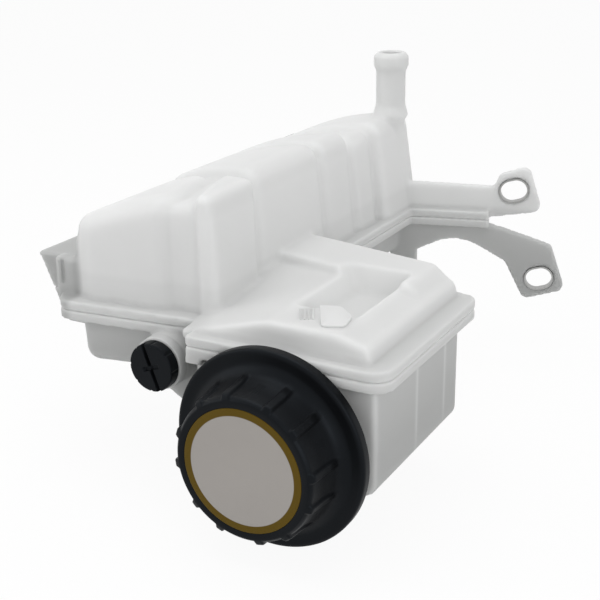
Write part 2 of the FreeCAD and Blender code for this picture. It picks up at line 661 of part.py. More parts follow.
def make_pressure_seal():
    """Flat ring between the pressure valve disc and the insert's floor."""
    body = new_body("pressure_seal")
    inner = size("port_radius") + size("pressure_seal_lap")
    outer = size("pressure_disc_radius") - size("pressure_seal_rim")
    turned(body, "seal_form", [
        (inner, disc_back()),
        (outer, disc_back()),
        (outer, disc_back() + size("pressure_seal_thick")),
        (inner, disc_back() + size("pressure_seal_thick")),
    ])
    return body


def make_spring_retainer():
    """Ring snapped into the insert that the pressure spring pushes on."""
    body = new_body("spring_retainer")
    outer = size("insert_bore") - size("seat_clearance")
    turned(body, "retainer_form", [
        (size("retainer_hole"), size("retainer_place")),
        (outer, size("retainer_place")),
        (outer, size("retainer_place") + size("retainer_thick")),
        (size("retainer_hole"), size("retainer_place") + size("retainer_thick")),
    ])
    return body


def make_vacuum_valve():
    """Mushroom valve whose stem runs through the pressure valve disc."""
    body = new_body("vacuum_valve")
    seat = disc_back() + size("seat_clearance")
    turned(body, "mushroom", [
        (ZERO, seat - size("vacuum_stem_length")),
        (size("vacuum_stem_radius"), seat - size("vacuum_stem_length")),
        (size("vacuum_stem_radius"), seat),
        (size("vacuum_head_radius"), seat),
        (size("vacuum_head_radius"), seat + size("vacuum_head_thick") * size("vacuum_head_share")),
        (size("vacuum_head_radius") * size("vacuum_head_share"), seat + size("vacuum_head_thick")),
        (ZERO, seat + size("vacuum_head_thick")),
    ])
    return body


def washer_back():
    """Back face of the washer at the end of the vacuum valve's stem."""
    end = disc_back() + size("seat_clearance") - size("vacuum_stem_length")
    return end + size("vacuum_washer_thick")


def make_vacuum_washer():
    """Washer pressed on the vacuum valve's stem."""
    body = new_body("vacuum_washer")
    inner = size("vacuum_stem_radius")
    turned(body, "washer_form", [
        (inner, washer_back() - size("vacuum_washer_thick")),
        (size("vacuum_washer_radius"), washer_back() - size("vacuum_washer_thick")),
        (size("vacuum_washer_radius"), washer_back()),
        (inner, washer_back()),
    ])
    return body


def make_spring(label, start, stop, mean_radius, wire, turns):
    """Coil spring about the Y axis whose wire just clears both its seats."""
    first = start + wire + size("seat_clearance")
    height = stop - start - (wire + size("seat_clearance")) * 2.0
    helix = doc.addObject("Part::Helix", label + "_line")
    helix.setExpression("Radius", mean_radius.formula)
    helix.setExpression("Height", height.formula)
    helix.setExpression("Pitch", (height / turns).formula)
    helix.Placement = Placement(Vector(0, first.number, 0), Rotation(Vector(1, 0, 0), -90))
    helix.setExpression(".Placement.Base.y", first.formula)
    section = doc.addObject("Part::Circle", label + "_section")
    section.setExpression("Radius", wire.formula)
    section.Placement = Placement(Vector(mean_radius.number, first.number, 0), Rotation())
    section.setExpression(".Placement.Base.x", mean_radius.formula)
    section.setExpression(".Placement.Base.y", first.formula)
    spring = doc.addObject("Part::Sweep", label)
    spring.Label = label
    spring.Sections = [section]
    spring.Spine = (helix, ["Edge1"])
    spring.Solid = True
    spring.Frenet = True
    return spring


def make_bleed_screw():
    """Screw plug with a large head, made about its own axis."""
    body = new_body("bleed_screw")
    face = size("bleed_face")
    back = face + size("bleed_head_length")
    head, stem = size("bleed_head_radius"), size("bleed_stem_radius")
    bevel, bite = size("bleed_bevel"), size("bite")
    turned(body, "screw_form", [
        (ZERO, face),
        (head - bevel, face),
        (head, face + bevel),
        (head, back),
        (stem, back),
        (stem, back + size("bleed_stem_length") - bevel),
        (stem - bevel, back + size("bleed_stem_length")),
        (ZERO, back + size("bleed_stem_length")),
    ])
    sketch = sketch_on(body, "XY_Plane", "slot_side", size("bleed_slot_turn"))
    outline(sketch, [
        (-head - bite, face - bite),
        (head + bite, face - bite),
        (head + bite, face + size("bleed_slot_depth")),
        (-head - bite, face + size("bleed_slot_depth")),
    ])
    cut = body.newObject("PartDesign::Pocket", "slot")
    cut.Profile = sketch
    cut.Midplane = True
    cut.setExpression("Length", size("bleed_slot_width").formula)
    place_at(body, size("bleed_x"), 0.0, size("bleed_z"))
    return body


def make_bleed_ring():
    """Sealing ring round the bleed screw's stem."""
    body = new_body("bleed_o_ring")
    section = size("bleed_ring") / 2.0
    mean = size("bleed_stem_radius") + section + size("seat_clearance")
    back = size("bleed_face") + size("bleed_head_length")
    place = back + size("seat_clearance") + section
    turned_ring(body, "ring_form", mean, place, section)
    place_at(body, size("bleed_x"), 0.0, size("bleed_z"))
    return body


def make_sleeve(label, along, height):
    """Oval steel sleeve with a collar on the back, pressed into an arm's slot."""
    body = new_body(label)
    outer, wall = size("sleeve_outer"), size("sleeve_wall")
    half, tilt = size("slot_half"), size("slot_tilt")
    sketch = sketch_on(body, "XZ_Plane", "tube_outline", tilt, Vector(0, 0, 1))
    slot_outline(sketch, half, outer)
    slot_outline(sketch, half, outer - wall)
    sketch.AttachmentOffset = Placement(Vector(0, 0, size("sleeve_proud").number),
                                        Rotation(Vector(0, 0, 1), tilt.number))
    sketch.setExpression(".AttachmentOffset.Base.z", size("sleeve_proud").formula)
    pad(body, sketch, "tube", size("arm_thick") + size("sleeve_proud") * 2.0, backwards=True)
    collar = sketch_on(body, "XZ_Plane", "collar_outline", tilt, Vector(0, 0, 1))
    slot_outline(collar, half, outer + size("sleeve_collar"))
    slot_outline(collar, half, outer - wall)
    collar_at = -size("arm_thick") - size("seat_clearance")
    collar.AttachmentOffset = Placement(Vector(0, 0, collar_at.number),
                                        Rotation(Vector(0, 0, 1), tilt.number))
    collar.setExpression(".AttachmentOffset.Base.z", collar_at.formula)
    pad(body, collar, "collar", size("sleeve_proud") - size("seat_clearance"), backwards=True)
    turn = math.radians(num("arm_turn"))
    spot = Vector(num("arm_x") + num(along) * math.cos(turn),
                  num("arm_y") + num(along) * math.sin(turn), num(height))
    body.Placement = Placement(spot, Rotation(Vector(0, 0, 1), num("arm_turn")))
    body.setExpression(".Placement.Base.z", size(height).formula)
    body.setExpression(".Placement.Rotation.Angle", size("arm_turn").formula)
    return body


# Moulded shells

TOUCH = 0.001  # how near two points are that count as touching
NOTHING = 0.0001  # the least straight run between two round corners
UPRIGHT = 0.9  # share of an upright edge's length that is height, at least
WALL_LEAN = 0.3  # lean that a wall has at most
TOP_LEVEL = 0.5  # share of a top's direction that points up, at least
FULLER = 1.01  # how much fuller a rounding may leave a solid, at most
ROUND_SHARES = (1.0, 0.93, 0.85, 0.75, 0.67, 0.6, 0.52, 0.45, 0.38, 0.3, 0.22, 0.15)


def rounded_wire(points, place):
    """A closed wire through (a, b, radius) points with round corners, put into space by place(a, b)."""
    count = len(points)
    corners = []
    for i in range(count):
        before, here, after = points[i - 1], points[i], points[(i + 1) % count]
        to_before = Vector(before[0] - here[0], before[1] - here[1], 0).normalize()
        to_after = Vector(after[0] - here[0], after[1] - here[1], 0).normalize()
        spot, radius = Vector(here[0], here[1], 0), here[2]
        if radius <= 0:
            corners.append((spot, None, spot))
            continue
        half = to_before.getAngle(to_after) / 2
        reach = radius / math.tan(half)
        middle = (to_before + to_after).normalize()
        centre = spot + middle * (radius / math.sin(half))
        corners.append((spot + to_before * reach, centre - middle * radius, spot + to_after * reach))
    edges = []
    for i in range(count):
        start, middle, end = (place(p.x, p.y) if p is not None else None for p in corners[i])
        if middle is not None:
            edges.append(Part.Arc(start, middle, end).toShape())
        following = place(corners[(i + 1) % count][0].x, corners[(i + 1) % count][0].y)
        if (following - end).Length > NOTHING:
            edges.append(Part.LineSegment(end, following).toShape())
    return Part.Wire(edges)


def plate(points, bottom, top):
    """A level plate with round corners between two heights."""
    wire = rounded_wire(points, lambda x, y: Vector(x, y, bottom))
    return Part.Face(wire).extrude(Vector(0, 0, top - bottom))


def bar(points, front, back):
    """A bar along Y whose section is given by (x, z, radius) points."""
    wire = rounded_wire(points, lambda x, z: Vector(x, front, z))
    return Part.Face(wire).extrude(Vector(0, back - front, 0))


def softened(solid, radius, edges):
    """Round the edges, with a smaller radius where the form leaves less room."""
    for share in ROUND_SHARES:
        try:
            rounded = solid.makeFillet(radius * share, edges)
        except (Part.OCCError, ValueError):
            continue
        if not rounded.isNull() and rounded.isValid() and 0 < rounded.Volume <= solid.Volume * FULLER:
            return rounded
    raise RuntimeError("no rounding fits")


def corner_edges(solid):
    """The upright edges of a solid."""
    chosen = []
    for edge in solid.Edges:
        start, stop = edge.valueAt(edge.FirstParameter), edge.valueAt(edge.LastParameter)
        if abs(start.z - stop.z) > UPRIGHT * (start - stop).Length:
            chosen.append(edge)
    return chosen


def rim_edges(solid, base):
    """The edges where a solid's sides meet its top."""
    chosen = []
    for edge in solid.Edges:
        spot = edge.valueAt((edge.FirstParameter + edge.LastParameter) / 2)
        faces = solid.ancestorsOfType(edge, Part.Face)
        if len(faces) != 2 or spot.z < base + num("lip_depth") + num("bite"):
            continue
        slopes = sorted(abs(face.normalAt(*face.Surface.parameter(spot)).z) for face in faces)
        if slopes[0] < WALL_LEAN and slopes[1] > TOP_LEVEL:
            chosen.append(edge)
    return chosen


def rounded_end(solid, radius, on_end, base):
    """Round the edges of one end, apart from the edge at the open base."""
    chosen = []
    for edge in solid.Edges:
        spots = [edge.valueAt(edge.FirstParameter + part * (edge.LastParameter - edge.FirstParameter))
                 for part in (0.0, 0.5, 1.0)]
        if all(on_end(spot) for spot in spots) and spots[1].z > base + TOUCH:
            chosen.append(edge)
    return softened(solid, radius, chosen)


def tower_top(x):
    """Height of the tower's curved top over a place across it."""
    share = (x - num("tower_left")) / (num("tower_right") - num("tower_left"))
    chord = num("tower_shoulder") + (num("tower_crown") - num("tower_shoulder")) * share
    return chord + 4 * num("tower_bulge") * share * (1 - share)


def tower_front(x):
    """Front of the tower over a place across it: the front stands a little askew."""
    share = (x - num("tower_left")) / (num("tower_right") - num("tower_left"))
    return num("tower_front") + num("tower_skew") * share


def chamber(left, right, plan, drop, inset, rounds, manner="ends", flare=0.0):
    """One rounded chamber of the tower, open at the seam: its section along Y kept inside a plan outline.

    The manner says what is rounded besides the section: "ends" are the cuts of the plan outline,
    "corners" the upright corners and then the whole rim, "nothing" leaves the block sharp.
    """
    base = num("seam_height") - (num("lip_depth") if inset else 0.0)
    left_round, right_round, end_round = (max(radius - inset, num("least_round")) for radius in rounds)
    rim_round = left_round * num("rim_share")
    if manner == "corners":
        left_round = right_round = 0.0
    far = num("tower_crown")
    lean_left, lean_right = num("tower_left_draft"), num("tower_right_draft") + flare
    x_left, x_right = left + inset, right - inset
    top_left, top_right = x_left + lean_left, x_right - lean_right
    peak = top_left + (top_right - top_left) * num("peak_share")
    points = [
        (x_left, base, 0),
        (top_left, tower_top(top_left) - drop - inset, left_round),
        (peak, tower_top(peak) + num("peak_rise") - drop - inset, num("top_round")),
        (top_right, tower_top(top_right) - drop - inset, right_round),
        (x_right, base, 0),
    ]
    rows = [y for x, y in plan]
    solid = bar(points, min(rows) - far, max(rows) + far)
    border = Part.makePolygon([Vector(x, y, base) for x, y in plan + plan[:1]])
    if inset:
        border = border.makeOffset2D(-inset, 2)
    solid = solid.common(Part.Face(border).extrude(Vector(0, 0, far + far)))
    if manner == "nothing":
        return solid
    if manner == "corners":
        solid = softened(solid, end_round, corner_edges(solid))
        return softened(solid, rim_round, rim_edges(solid, base))
    chosen = []
    for edge in solid.Edges:
        length = edge.LastParameter - edge.FirstParameter
        spots = [edge.valueAt(edge.FirstParameter + share * length) for share in (0.0, 0.3, 1.0)]
        levels = [Part.Vertex(spot.x, spot.y, base).distToShape(border)[0] for spot in spots]
        if max(levels) < TOUCH and spots[1].z > base + TOUCH:
            chosen.append(edge)
    return softened(solid, end_round, chosen)


def front_end(x):
    """Back end of the two front chambers over a place across the tower."""
    share = (x - num("tower_left")) / (num("tower_right") - num("tower_left"))
    return num("front_left_end") + (num("front_right_end") - num("front_left_end")) * share


def tower(inset):
    """All chambers of the tower joined, as an outer form or as the hollow inside it."""
    left, right = num("tower_left"), num("tower_right")
    rounds = (num("left_round"), num("right_round"), num("chamber_round"))
    proud, gap = num("side_groove"), num("chamber_gap")
    low, high = left - num("plan_over"), right + num("plan_over")
    split, split_back = num("front_split"), num("front_split_back")
    back = num("tower_back")
    core = [
        (low, tower_front(low) + gap), (high, tower_front(high) + gap), (high, back - gap),
        (low, back - gap),
    ]
    front_left = [
        (low, tower_front(low)), (split - gap, tower_front(split - gap)),
        (split_back - gap, front_end(split_back - gap)), (low, front_end(low)),
    ]
    front_right = [
        (split + gap, tower_front(split + gap)), (high, tower_front(high)), (high, front_end(high)),
        (split_back + gap, front_end(split_back + gap)),
    ]
    first = [
        (low, front_end(low) + gap), (high, front_end(high) + gap), (high, num("chamber_one_end")),
        (low, num("chamber_one_end")),
    ]
    front_rounds = (num("left_round"), num("right_round"), num("front_round"))
    small_rounds = (num("front_small_round"),) * 3
    pieces = [
        chamber(left, right, front_left, num("front_drop"), inset, front_rounds, "corners"),
        chamber(left, right + proud, front_right, num("front_drop"), inset, small_rounds, "corners",
                -num("front_upright")),
        chamber(left, right, first, 0.0, inset, rounds),
    ]
    front = num("chamber_one_end") + gap
    for end, drop, flare in ((num("chamber_two_end"), 0.0, 0.0),
                             (num("chamber_three_end"), num("third_drop"), 0.0),
                             (back, num("last_drop"), num("last_flare"))):
        plan = [(low, front), (high, front), (high, end), (low, end)]
        pieces.append(chamber(left, right + flare, plan, drop, inset, rounds,
                              flare=flare * num("lean_share")))
        front = end + gap
    inner = chamber(left + gap / 2, right - proud, core, num("groove_depth"), inset, rounds,
                    "nothing" if inset else "ends")
    return inner.multiFuse(pieces)


def deck(inset):
    """The deck over the box, with its ridge, its valley beside the tower and its raised back strip."""
    base = num("seam_height") - (num("lip_depth") if inset else 0.0)
    left, right = num("deck_left"), num("box_right") - inset
    front = num("deck_front") + inset
    edge, soft = num("deck_edge") - inset, max(num("deck_round") - inset / 2, num("least_round"))
    end_round = max(num("deck_end_round") - inset / 4, num("least_round"))
    high = num("tower_crown")

    def between(first, last):
        """An upright block over the deck between two lines along its skewed back."""
        over = right + num("bite")
        border = [(left, first(left)), (over, first(over)), (over, last(over)), (left, last(left))]
        wire = Part.makePolygon([Vector(x, y, base) for x, y in border + border[:1]])
        return Part.Face(wire).extrude(Vector(0, 0, high))

    def section(y, valley):
        points = [
            (left, base, 0),
            (left, valley - inset, 0),
            (num("deck_ridge"), above_seam("deck_top") - inset, soft),
            (num("deck_shoulder"), above_seam("deck_top") - inset, soft),
            (edge, above_seam("deck_edge_height") - inset, soft),
            (right, base, 0),
        ]
        return rounded_wire(points, lambda x, z: Vector(x, y, z))

    def back(x):
        return box_end(x) + num("deck_over") - inset

    def strip_start(x):
        return box_end(x) - num("strip_width") + inset

    far = num("box_back") + num("back_skew") * 2
    main = Part.makeLoft([section(front, above_seam("deck_valley")), section(far, above_seam("deck_valley_back"))],
                         True, True)
    main = rounded_end(main, end_round, lambda p: abs(p.y - front) < TOUCH, base)
    main = main.common(between(lambda x: 0.0, lambda x: back(x) - num("bite")))
    strip_points = [
        (left, base, 0),
        (left, above_seam("strip_left_height") - inset, 0),
        (num("strip_right") - inset / 2, above_seam("strip_right_height") - inset,
         num("strip_round") - inset / 2),
        (edge, above_seam("deck_edge_height") - num("strip_edge_drop") - inset, soft),
        (right, base, 0),
    ]
    strip = bar(strip_points, 0.0, far * 2).common(between(strip_start, back))
    for line in (strip_start, back):
        strip = rounded_end(strip, end_round, lambda p: abs(p.y - line(p.x)) < TOUCH, base)
    return main.fuse(strip)


def recess(outset):
    """The sunken place in the deck, as a block to cut with, grown all round by the outset."""
    top = above_seam("deck_top") + num("past")
    floor = above_seam("deck_top") - num("recess_depth") - outset
    left, right = num("deck_ridge") + num("recess_margin"), num("deck_shoulder") - num("recess_margin")
    front, back = num("recess_front"), num("recess_back") + outset
    soft = num("recess_round")
    rise = (top - floor) / num("recess_depth")

    def level(z, lean):
        start = left + (1.0 - lean) * num("recess_slope") - outset
        stop = right - (1.0 - lean) * num("recess_lean") + outset
        ahead = front + (1.0 - lean) * num("recess_front_lean") - outset
        last = back - (1.0 - lean) * num("recess_back_slope")
        points = [(start, ahead, soft), (stop, ahead, soft), (stop, last, soft), (start, last, soft)]
        return rounded_wire(points, lambda x, y: Vector(x, y, z))

    return Part.makeLoft([level(floor, 0.0), level(top, rise)], True, True)


def box_end(x):
    """Back of the box over a place across it: it runs further back towards the tower."""
    share = (num("box_right") - x) / (num("box_right") - num("tower_right"))
    return num("box_back") + num("back_skew") * share


def lip_plan():
    """Outline of the welded lips seen from above."""
    reach = num("lip_reach")
    left, right = num("tower_left") - num("lip_left_reach"), num("box_right") + reach + num("lip_right_more")
    back = num("tower_back") + reach
    side = num("tower_right") + reach
    front = num("deck_front") - reach
    big, small = num("lip_round"), num("lip_small_round")
    return [
        (num("tower_right"), front - num("bite"), small),
        (right, front, big),
        (right, box_end(right) + reach, num("corner_round")),
        (side, box_end(side) + reach, small),
        (side, back, big),
        (left, back, big),
        (left, tower_front(left) - reach, big),
        (num("tower_right"), tower_front(num("tower_right")) - reach, small / 2),
    ]


def bevelled(solid, height):
    """Bevel the lip's outer edge at the weld plane, which leaves the groove between the lips."""
    chosen = [edge for edge in solid.Edges
              if max(abs(edge.BoundBox.ZMin - height), abs(edge.BoundBox.ZMax - height)) < TOUCH]
    return solid.makeChamfer(num("lip_bevel"), chosen)


def arm_frame(shape):
    """Carry a shape made in the arms' own frame (along, back, up) to its place."""
    shape.rotate(Vector(0, 0, 0), Vector(0, 0, 1), num("arm_turn"))
    shape.translate(Vector(num("arm_x"), num("arm_y"), 0))
    return shape


def slot_hole(along, height):
    """A block that cuts the slot for one steel sleeve."""
    radius, half = num("sleeve_outer") + num("seat_clearance"), num("slot_half")
    points = [
        (-half - radius, -radius, radius - NOTHING),
        (half + radius, -radius, radius - NOTHING),
        (half + radius, radius, radius - NOTHING),
        (-half - radius, radius, radius - NOTHING),
    ]
    block = bar(points, -num("past"), num("past") + num("arm_thick"))
    block.rotate(Vector(0, 0, 0), Vector(0, 1, 0), -num("slot_tilt"))
    block.translate(Vector(num(along), 0, num(height)))
    return arm_frame(block)


def arm_lip(height):
    """Lip along an arm's foot, in the arms' own frame."""
    root, reach = num("arm_lip_root"), num("arm_lip_reach")
    return Part.makeBox(num("arm_lip_end") + root, reach + num("bite"), num("lip_depth"),
                        Vector(-root, -reach, height))


def upper_arm():
    """Flat arm of the upper shell with its pad and the lip along its foot."""
    s, z = num("upper_slot_along"), num("upper_slot_height")
    seam, soft = num("seam_height"), num("arm_pad_round")
    points = [
        (-num("arm_root"), seam, 0),
        (-num("arm_root"), z + num("upper_root_rise"), 0),
        (s - num("upper_neck_back"), z + num("upper_neck_rise"), num("upper_neck_round")),
        (s - num("upper_pad_back"), z + num("upper_pad_rise"), num("upper_neck_round")),
        (s + num("upper_pad_ahead"), z + num("upper_pad_top"), soft),
        (s + num("upper_pad_reach"), z - num("upper_pad_drop"), soft),
        (s - num("upper_foot_back"), seam, 0),
    ]
    arm = arm_frame(bar(points, 0.0, num("arm_thick")).fuse(arm_lip(seam)))
    return arm.cut(slot_hole("upper_slot_along", "upper_slot_height"))


def lower_arm():
    """Arched arm of the lower shell with its pad and the lip along its top."""
    s, z = num("lower_slot_along"), num("lower_slot_height")
    seam, soft = num("seam_height"), num("arm_pad_round")
    low, step = num("lower_root_height"), num("lower_step")
    points = [
        (-num("arm_root"), seam, 0),
        (-num("arm_root"), low, 0),
        (step, low, 0),
        (step, num("lower_step_height"), num("lower_step_round")),
        (s - num("lower_arch_back"), num("lower_arch_height"), num("lower_arch_round")),
        (s - num("lower_neck_back"), num("lower_neck_height"), num("lower_neck_round")),
        (s - num("lower_pad_back"), z - num("lower_pad_drop"), soft),
        (s + num("lower_pad_reach"), z - num("lower_pad_low"), soft),
        (s + num("lower_pad_ahead"), z + num("lower_pad_rise"), soft),
        (s - num("lower_top_back"), seam - num("lower_top_drop"), num("lower_top_round")),
        (s - num("lower_foot_back"), seam - num("lower_foot_drop"), 0),
        (s - num("lower_foot_back"), seam, 0),
    ]
    arm = bar(points, 0.0, num("arm_thick")).fuse(arm_lip(seam - num("lip_depth")))
    return arm_frame(arm).cut(slot_hole("lower_slot_along", "lower_slot_height"))


def spigot():
    """Hose spigot with its bead and the flare at its foot."""
    radius, top = num("spigot_radius"), num("spigot_top")
    bead, length = num("spigot_bead"), num("spigot_bead_length")
    crown = num("tower_crown")
    foot = crown - num("spigot_root")
    flare = num("spigot_foot")
    points = [
        (0, foot),
        (radius / 2, foot),
        (radius, crown - num("spigot_neck")),
        (radius + flare, crown - flare - num("bite")),
        (radius, crown + flare * 2.0),
        (radius, top - length - num("spigot_ramp")),
        (radius + bead, top - length),
        (radius + bead, top - num("spigot_nose")),
        (radius - num("spigot_lead"), top),
        (0, top),
    ]
    wire = Part.makePolygon([Vector(x, 0, z) for x, z in points] + [Vector(0, 0, foot)])
    solid = Part.Face(wire).revolve(Vector(0, 0, 0), Vector(0, 0, 1), 360)
    solid.translate(Vector(num("spigot_x"), num("spigot_y"), 0))
    return solid


def bracket(bottom, top):
    """Gussets and shelf on the left side between two heights."""
    left = num("tower_left")
    thick, front = num("bracket_thick"), num("bracket_front")
    span = num("bracket_top") - num("bracket_foot")
    reach, foot = num("bracket_reach"), num("bracket_foot_reach")

    def edge(height):
        share = (height - num("bracket_foot")) / span
        return left - foot - (reach - foot) * share

    inner = left + num("left_inset") + num("wall")
    points = [
        (inner, bottom, 0),
        (edge(bottom), bottom, 0),
        (edge(top), top, 0),
        (inner, top, 0),
    ]
    pieces = []
    count = int(num("bracket_gussets"))
    for i in range(count):
        start = front + i * (num("bracket_length") - thick) / (count - 1)
        pieces.append(bar(points, start, start + thick))
    if top >= num("bracket_top"):
        pieces.append(Part.makeBox(inner - edge(top), num("bracket_length"), thick,
                                   Vector(edge(top), front, top - thick)))
    return pieces


def make_upper_shell():
    """Upper shell: tower, deck, upper lip, upper arm and spigot in one moulding."""
    seam, wall = num("seam_height"), num("wall")
    lip = bevelled(plate(lip_plan(), seam, seam + num("lip_depth")), seam)
    left, rail_foot = num("tower_left"), seam + num("rail_rise")
    rail = Part.makeBox(num("bracket_thick"), num("tower_back") - num("rail_front") - num("rail_end"),
                        num("rail_top") - rail_foot, Vector(left, num("rail_front"), rail_foot))
    front, reach = tower_front(left) + num("guide_set"), num("guide_reach")
    guide = Part.makeBox(reach + num("guide_root"), num("guide_width"), num("guide_height") - seam,
                         Vector(left - reach, front, seam))
    slot = Part.makeBox(num("guide_slot"), num("guide_slot_depth") + num("bite"), num("guide_height") - seam,
                        Vector(left - reach * num("guide_slot_share"), front - num("bite"),
                               seam + num("guide_slot_rise")))
    body = deck(0.0).cut(recess(0.0))
    sides = 6
    turns = [math.radians(num("pad_turn") + 360 * i / sides) for i in range(sides)]
    hexagon = [(num("pad_x") + num("pad_size") * math.cos(turn),
                num("pad_y") + num("pad_size") * math.sin(turn), num("pad_round")) for turn in turns]
    raised = plate(hexagon, above_seam("deck_top") - num("recess_depth") - num("bite"),
                   above_seam("deck_top") + num("pad_proud"))
    outer = tower(0.0).multiFuse([body, lip, upper_arm(), spigot(), rail, guide.cut(slot), raised]
                                 + bracket(seam, num("bracket_top")))
    hollow = tower(wall).fuse(deck(wall).cut(recess(wall)))
    depth = num("spigot_top") - num("tower_crown") + num("spigot_neck") + num("wall")
    bore = Part.makeCylinder(num("spigot_bore"), depth + num("bite"),
                             Vector(num("spigot_x"), num("spigot_y"), num("spigot_top") - depth))
    return outer.cut(hollow).cut(bore)


def low_front(x):
    """Front wall of the left compartment over a place across it."""
    share = (x - num("tower_left")) / (num("tower_right") - num("tower_left"))
    return num("low_front") + num("low_skew") * share


def low_left(inset):
    """Left compartment of the lower shell, open at the seam."""
    top = num("seam_height") + (num("lip_depth") if inset else 0.0)
    left = num("tower_left") + num("left_inset") + inset
    right = num("tower_right") - num("side_groove") - inset
    floor, soft = num("left_floor") + inset, num("floor_round")
    points = [
        (left, top, 0),
        (left + num("low_draft"), floor, soft),
        (right, floor + num("left_floor_rise"), soft),
        (right, top, 0),
    ]
    back = num("tower_back") - num("left_inset") - inset
    solid = bar(points, num("low_front") - num("low_skew"), back)
    low, high, bite = left - num("plan_over"), right + num("plan_over"), num("bite")
    border = [(low, low_front(low) + inset), (high, low_front(high) + inset), (high, back + bite),
              (low, back + bite)]
    solid = solid.common(plate([(x, y, 0) for x, y in border], floor - bite, top + bite))
    radius = max(num("front_soft") - inset, num("least_round"))

    def on_front(spot):
        return abs(spot.y - low_front(spot.x) - inset) < TOUCH and spot.z < top - TOUCH

    solid = rounded_end(solid, radius, on_front, floor - soft)
    return rounded_end(solid, radius, lambda p: abs(p.y - back) < TOUCH and p.z < top - TOUCH,
                       floor - soft)


def low_box(inset):
    """Box of the lower shell behind the filler neck, open at the seam."""
    top = num("seam_height") + (num("lip_depth") if inset else 0.0)
    right, floor = num("box_right") - inset, num("box_floor") + inset
    soft = num("floor_round")
    half, slope = num("box_floor_half"), num("slope_top_x")
    left = num("tower_right") + inset
    high_floor = num("left_floor") + inset
    run = (num("left_floor") - num("box_floor")) / (-slope - half)
    at_left = num("box_floor") - (num("tower_right") + half) * run + inset
    far = num("box_back") + num("back_skew") * 2
    box = bar([
        (left, top, 0),
        (left, at_left, num("box_left_round")),
        (-half, floor, soft * 2),
        (half, floor, soft * 2),
        (right, num("box_corner") + inset, soft),
        (right, top, 0),
    ], num("box_front") + inset, far)
    bridge = bar([
        (slope - num("slope_wall"), top, 0),
        (slope - num("slope_wall"), high_floor - num("slope_corner"), soft),
        (slope + soft, high_floor - num("slope_step"), soft),
        (-half, floor, 0),
        (-half, top, 0),
    ], low_front(slope) + inset, far)
    high, low, bite = num("box_right") + num("bite"), slope - num("slope_over"), num("bite")
    border = [(low, 0.0), (high, 0.0), (high, box_end(high) - inset), (low, box_end(low) - inset)]
    return box.fuse(bridge).common(plate([(x, y, 0) for x, y in border], floor - bite, top + bite))


def baffles():
    """Inner walls that part the box, with holes for the coolant."""
    top = num("seam_height") - num("baffle_clearance")
    walls = []
    for place in (num("baffle_first"), num("baffle_second")):
        sheet_wall = Part.makeBox(num("box_right") - num("slope_top_x"), num("baffle"),
                                  top - num("box_floor"),
                                  Vector(num("slope_top_x"), place, num("box_floor")))
        for x in (num("baffle_hole_left"), num("baffle_hole_right")):
            hole = Part.makeCylinder(num("baffle_hole"), num("baffle") + num("bite") * 2.0,
                                     Vector(x, place - num("bite"), num("baffle_hole_height")),
                                     Vector(0, 1, 0))
            sheet_wall = sheet_wall.cut(hole)
        walls.append(sheet_wall)
    return walls


def make_lower_shell():
    """Lower shell: compartments, filler neck, bleed boss, lower lip and lower arm in one moulding."""
    seam, wall = num("seam_height"), num("wall")
    lip = bevelled(plate(lip_plan(), seam - num("lip_depth"), seam), seam)
    neck_length = num("box_front") + wall
    neck = Part.makeCylinder(num("neck_radius"), neck_length, Vector(0, 0, 0), Vector(0, 1, 0))
    pitch = num("neck_pitch")
    threads = [Part.makeCylinder(num("neck_radius") + num("neck_thread"), pitch * num("thread_share"),
                                 Vector(0, pitch * (num("thread_first") + turn), 0), Vector(0, 1, 0))
               for turn in range(int(num("thread_rings")))]
    boss_face = num("bleed_face") + num("bleed_head_length") + num("seat_clearance")
    wall_front = low_front(num("bleed_x"))
    boss_axis = Vector(num("bleed_x"), boss_face, num("bleed_z"))
    boss = Part.makeCylinder(num("bleed_boss_radius"),
                             wall_front + wall + num("bleed_boss_over") - boss_face, boss_axis,
                             Vector(0, 1, 0))
    stem_hole = Part.makeCylinder(num("bleed_stem_radius") + num("run_clearance"),
                                  num("bleed_stem_length") + num("box_front"), boss_axis, Vector(0, 1, 0))
    ring_seat = Part.makeCylinder(num("bleed_stem_radius") + num("bleed_ring") + num("bleed_ring_room"),
                                  num("bleed_ring") + num("seat_clearance"), boss_axis, Vector(0, 1, 0))
    lug = Part.makeBox(num("lug_width"), num("lug_depth"), num("lug_drop"),
                       Vector(num("tower_right"), num("deck_front") - num("lip_reach") - num("bite"),
                              seam - num("lip_depth") - num("lug_drop")))
    outer = low_left(0.0).multiFuse([low_box(0.0), lip, neck, boss, lug, lower_arm()] + threads
                                    + bracket(num("bracket_foot"), seam))
    hollow = low_left(wall).fuse(low_box(wall)).cut(baffles()[0]).cut(baffles()[1])
    bore = Part.makeCylinder(num("neck_bore"), neck_length + num("bite") * 2.0,
                             Vector(0, -num("bite"), 0), Vector(0, 1, 0))
    return outer.cut(hollow).cut(bore).cut(stem_hole).cut(ring_seat)


def moulded(label, shape):
    """Put a moulded shape into the document as a sub-part."""
    feature = doc.addObject("Part::Feature", label)
    feature.Label = label
    feature.Shape = shape
    feature.Placement = Placement()
    return feature


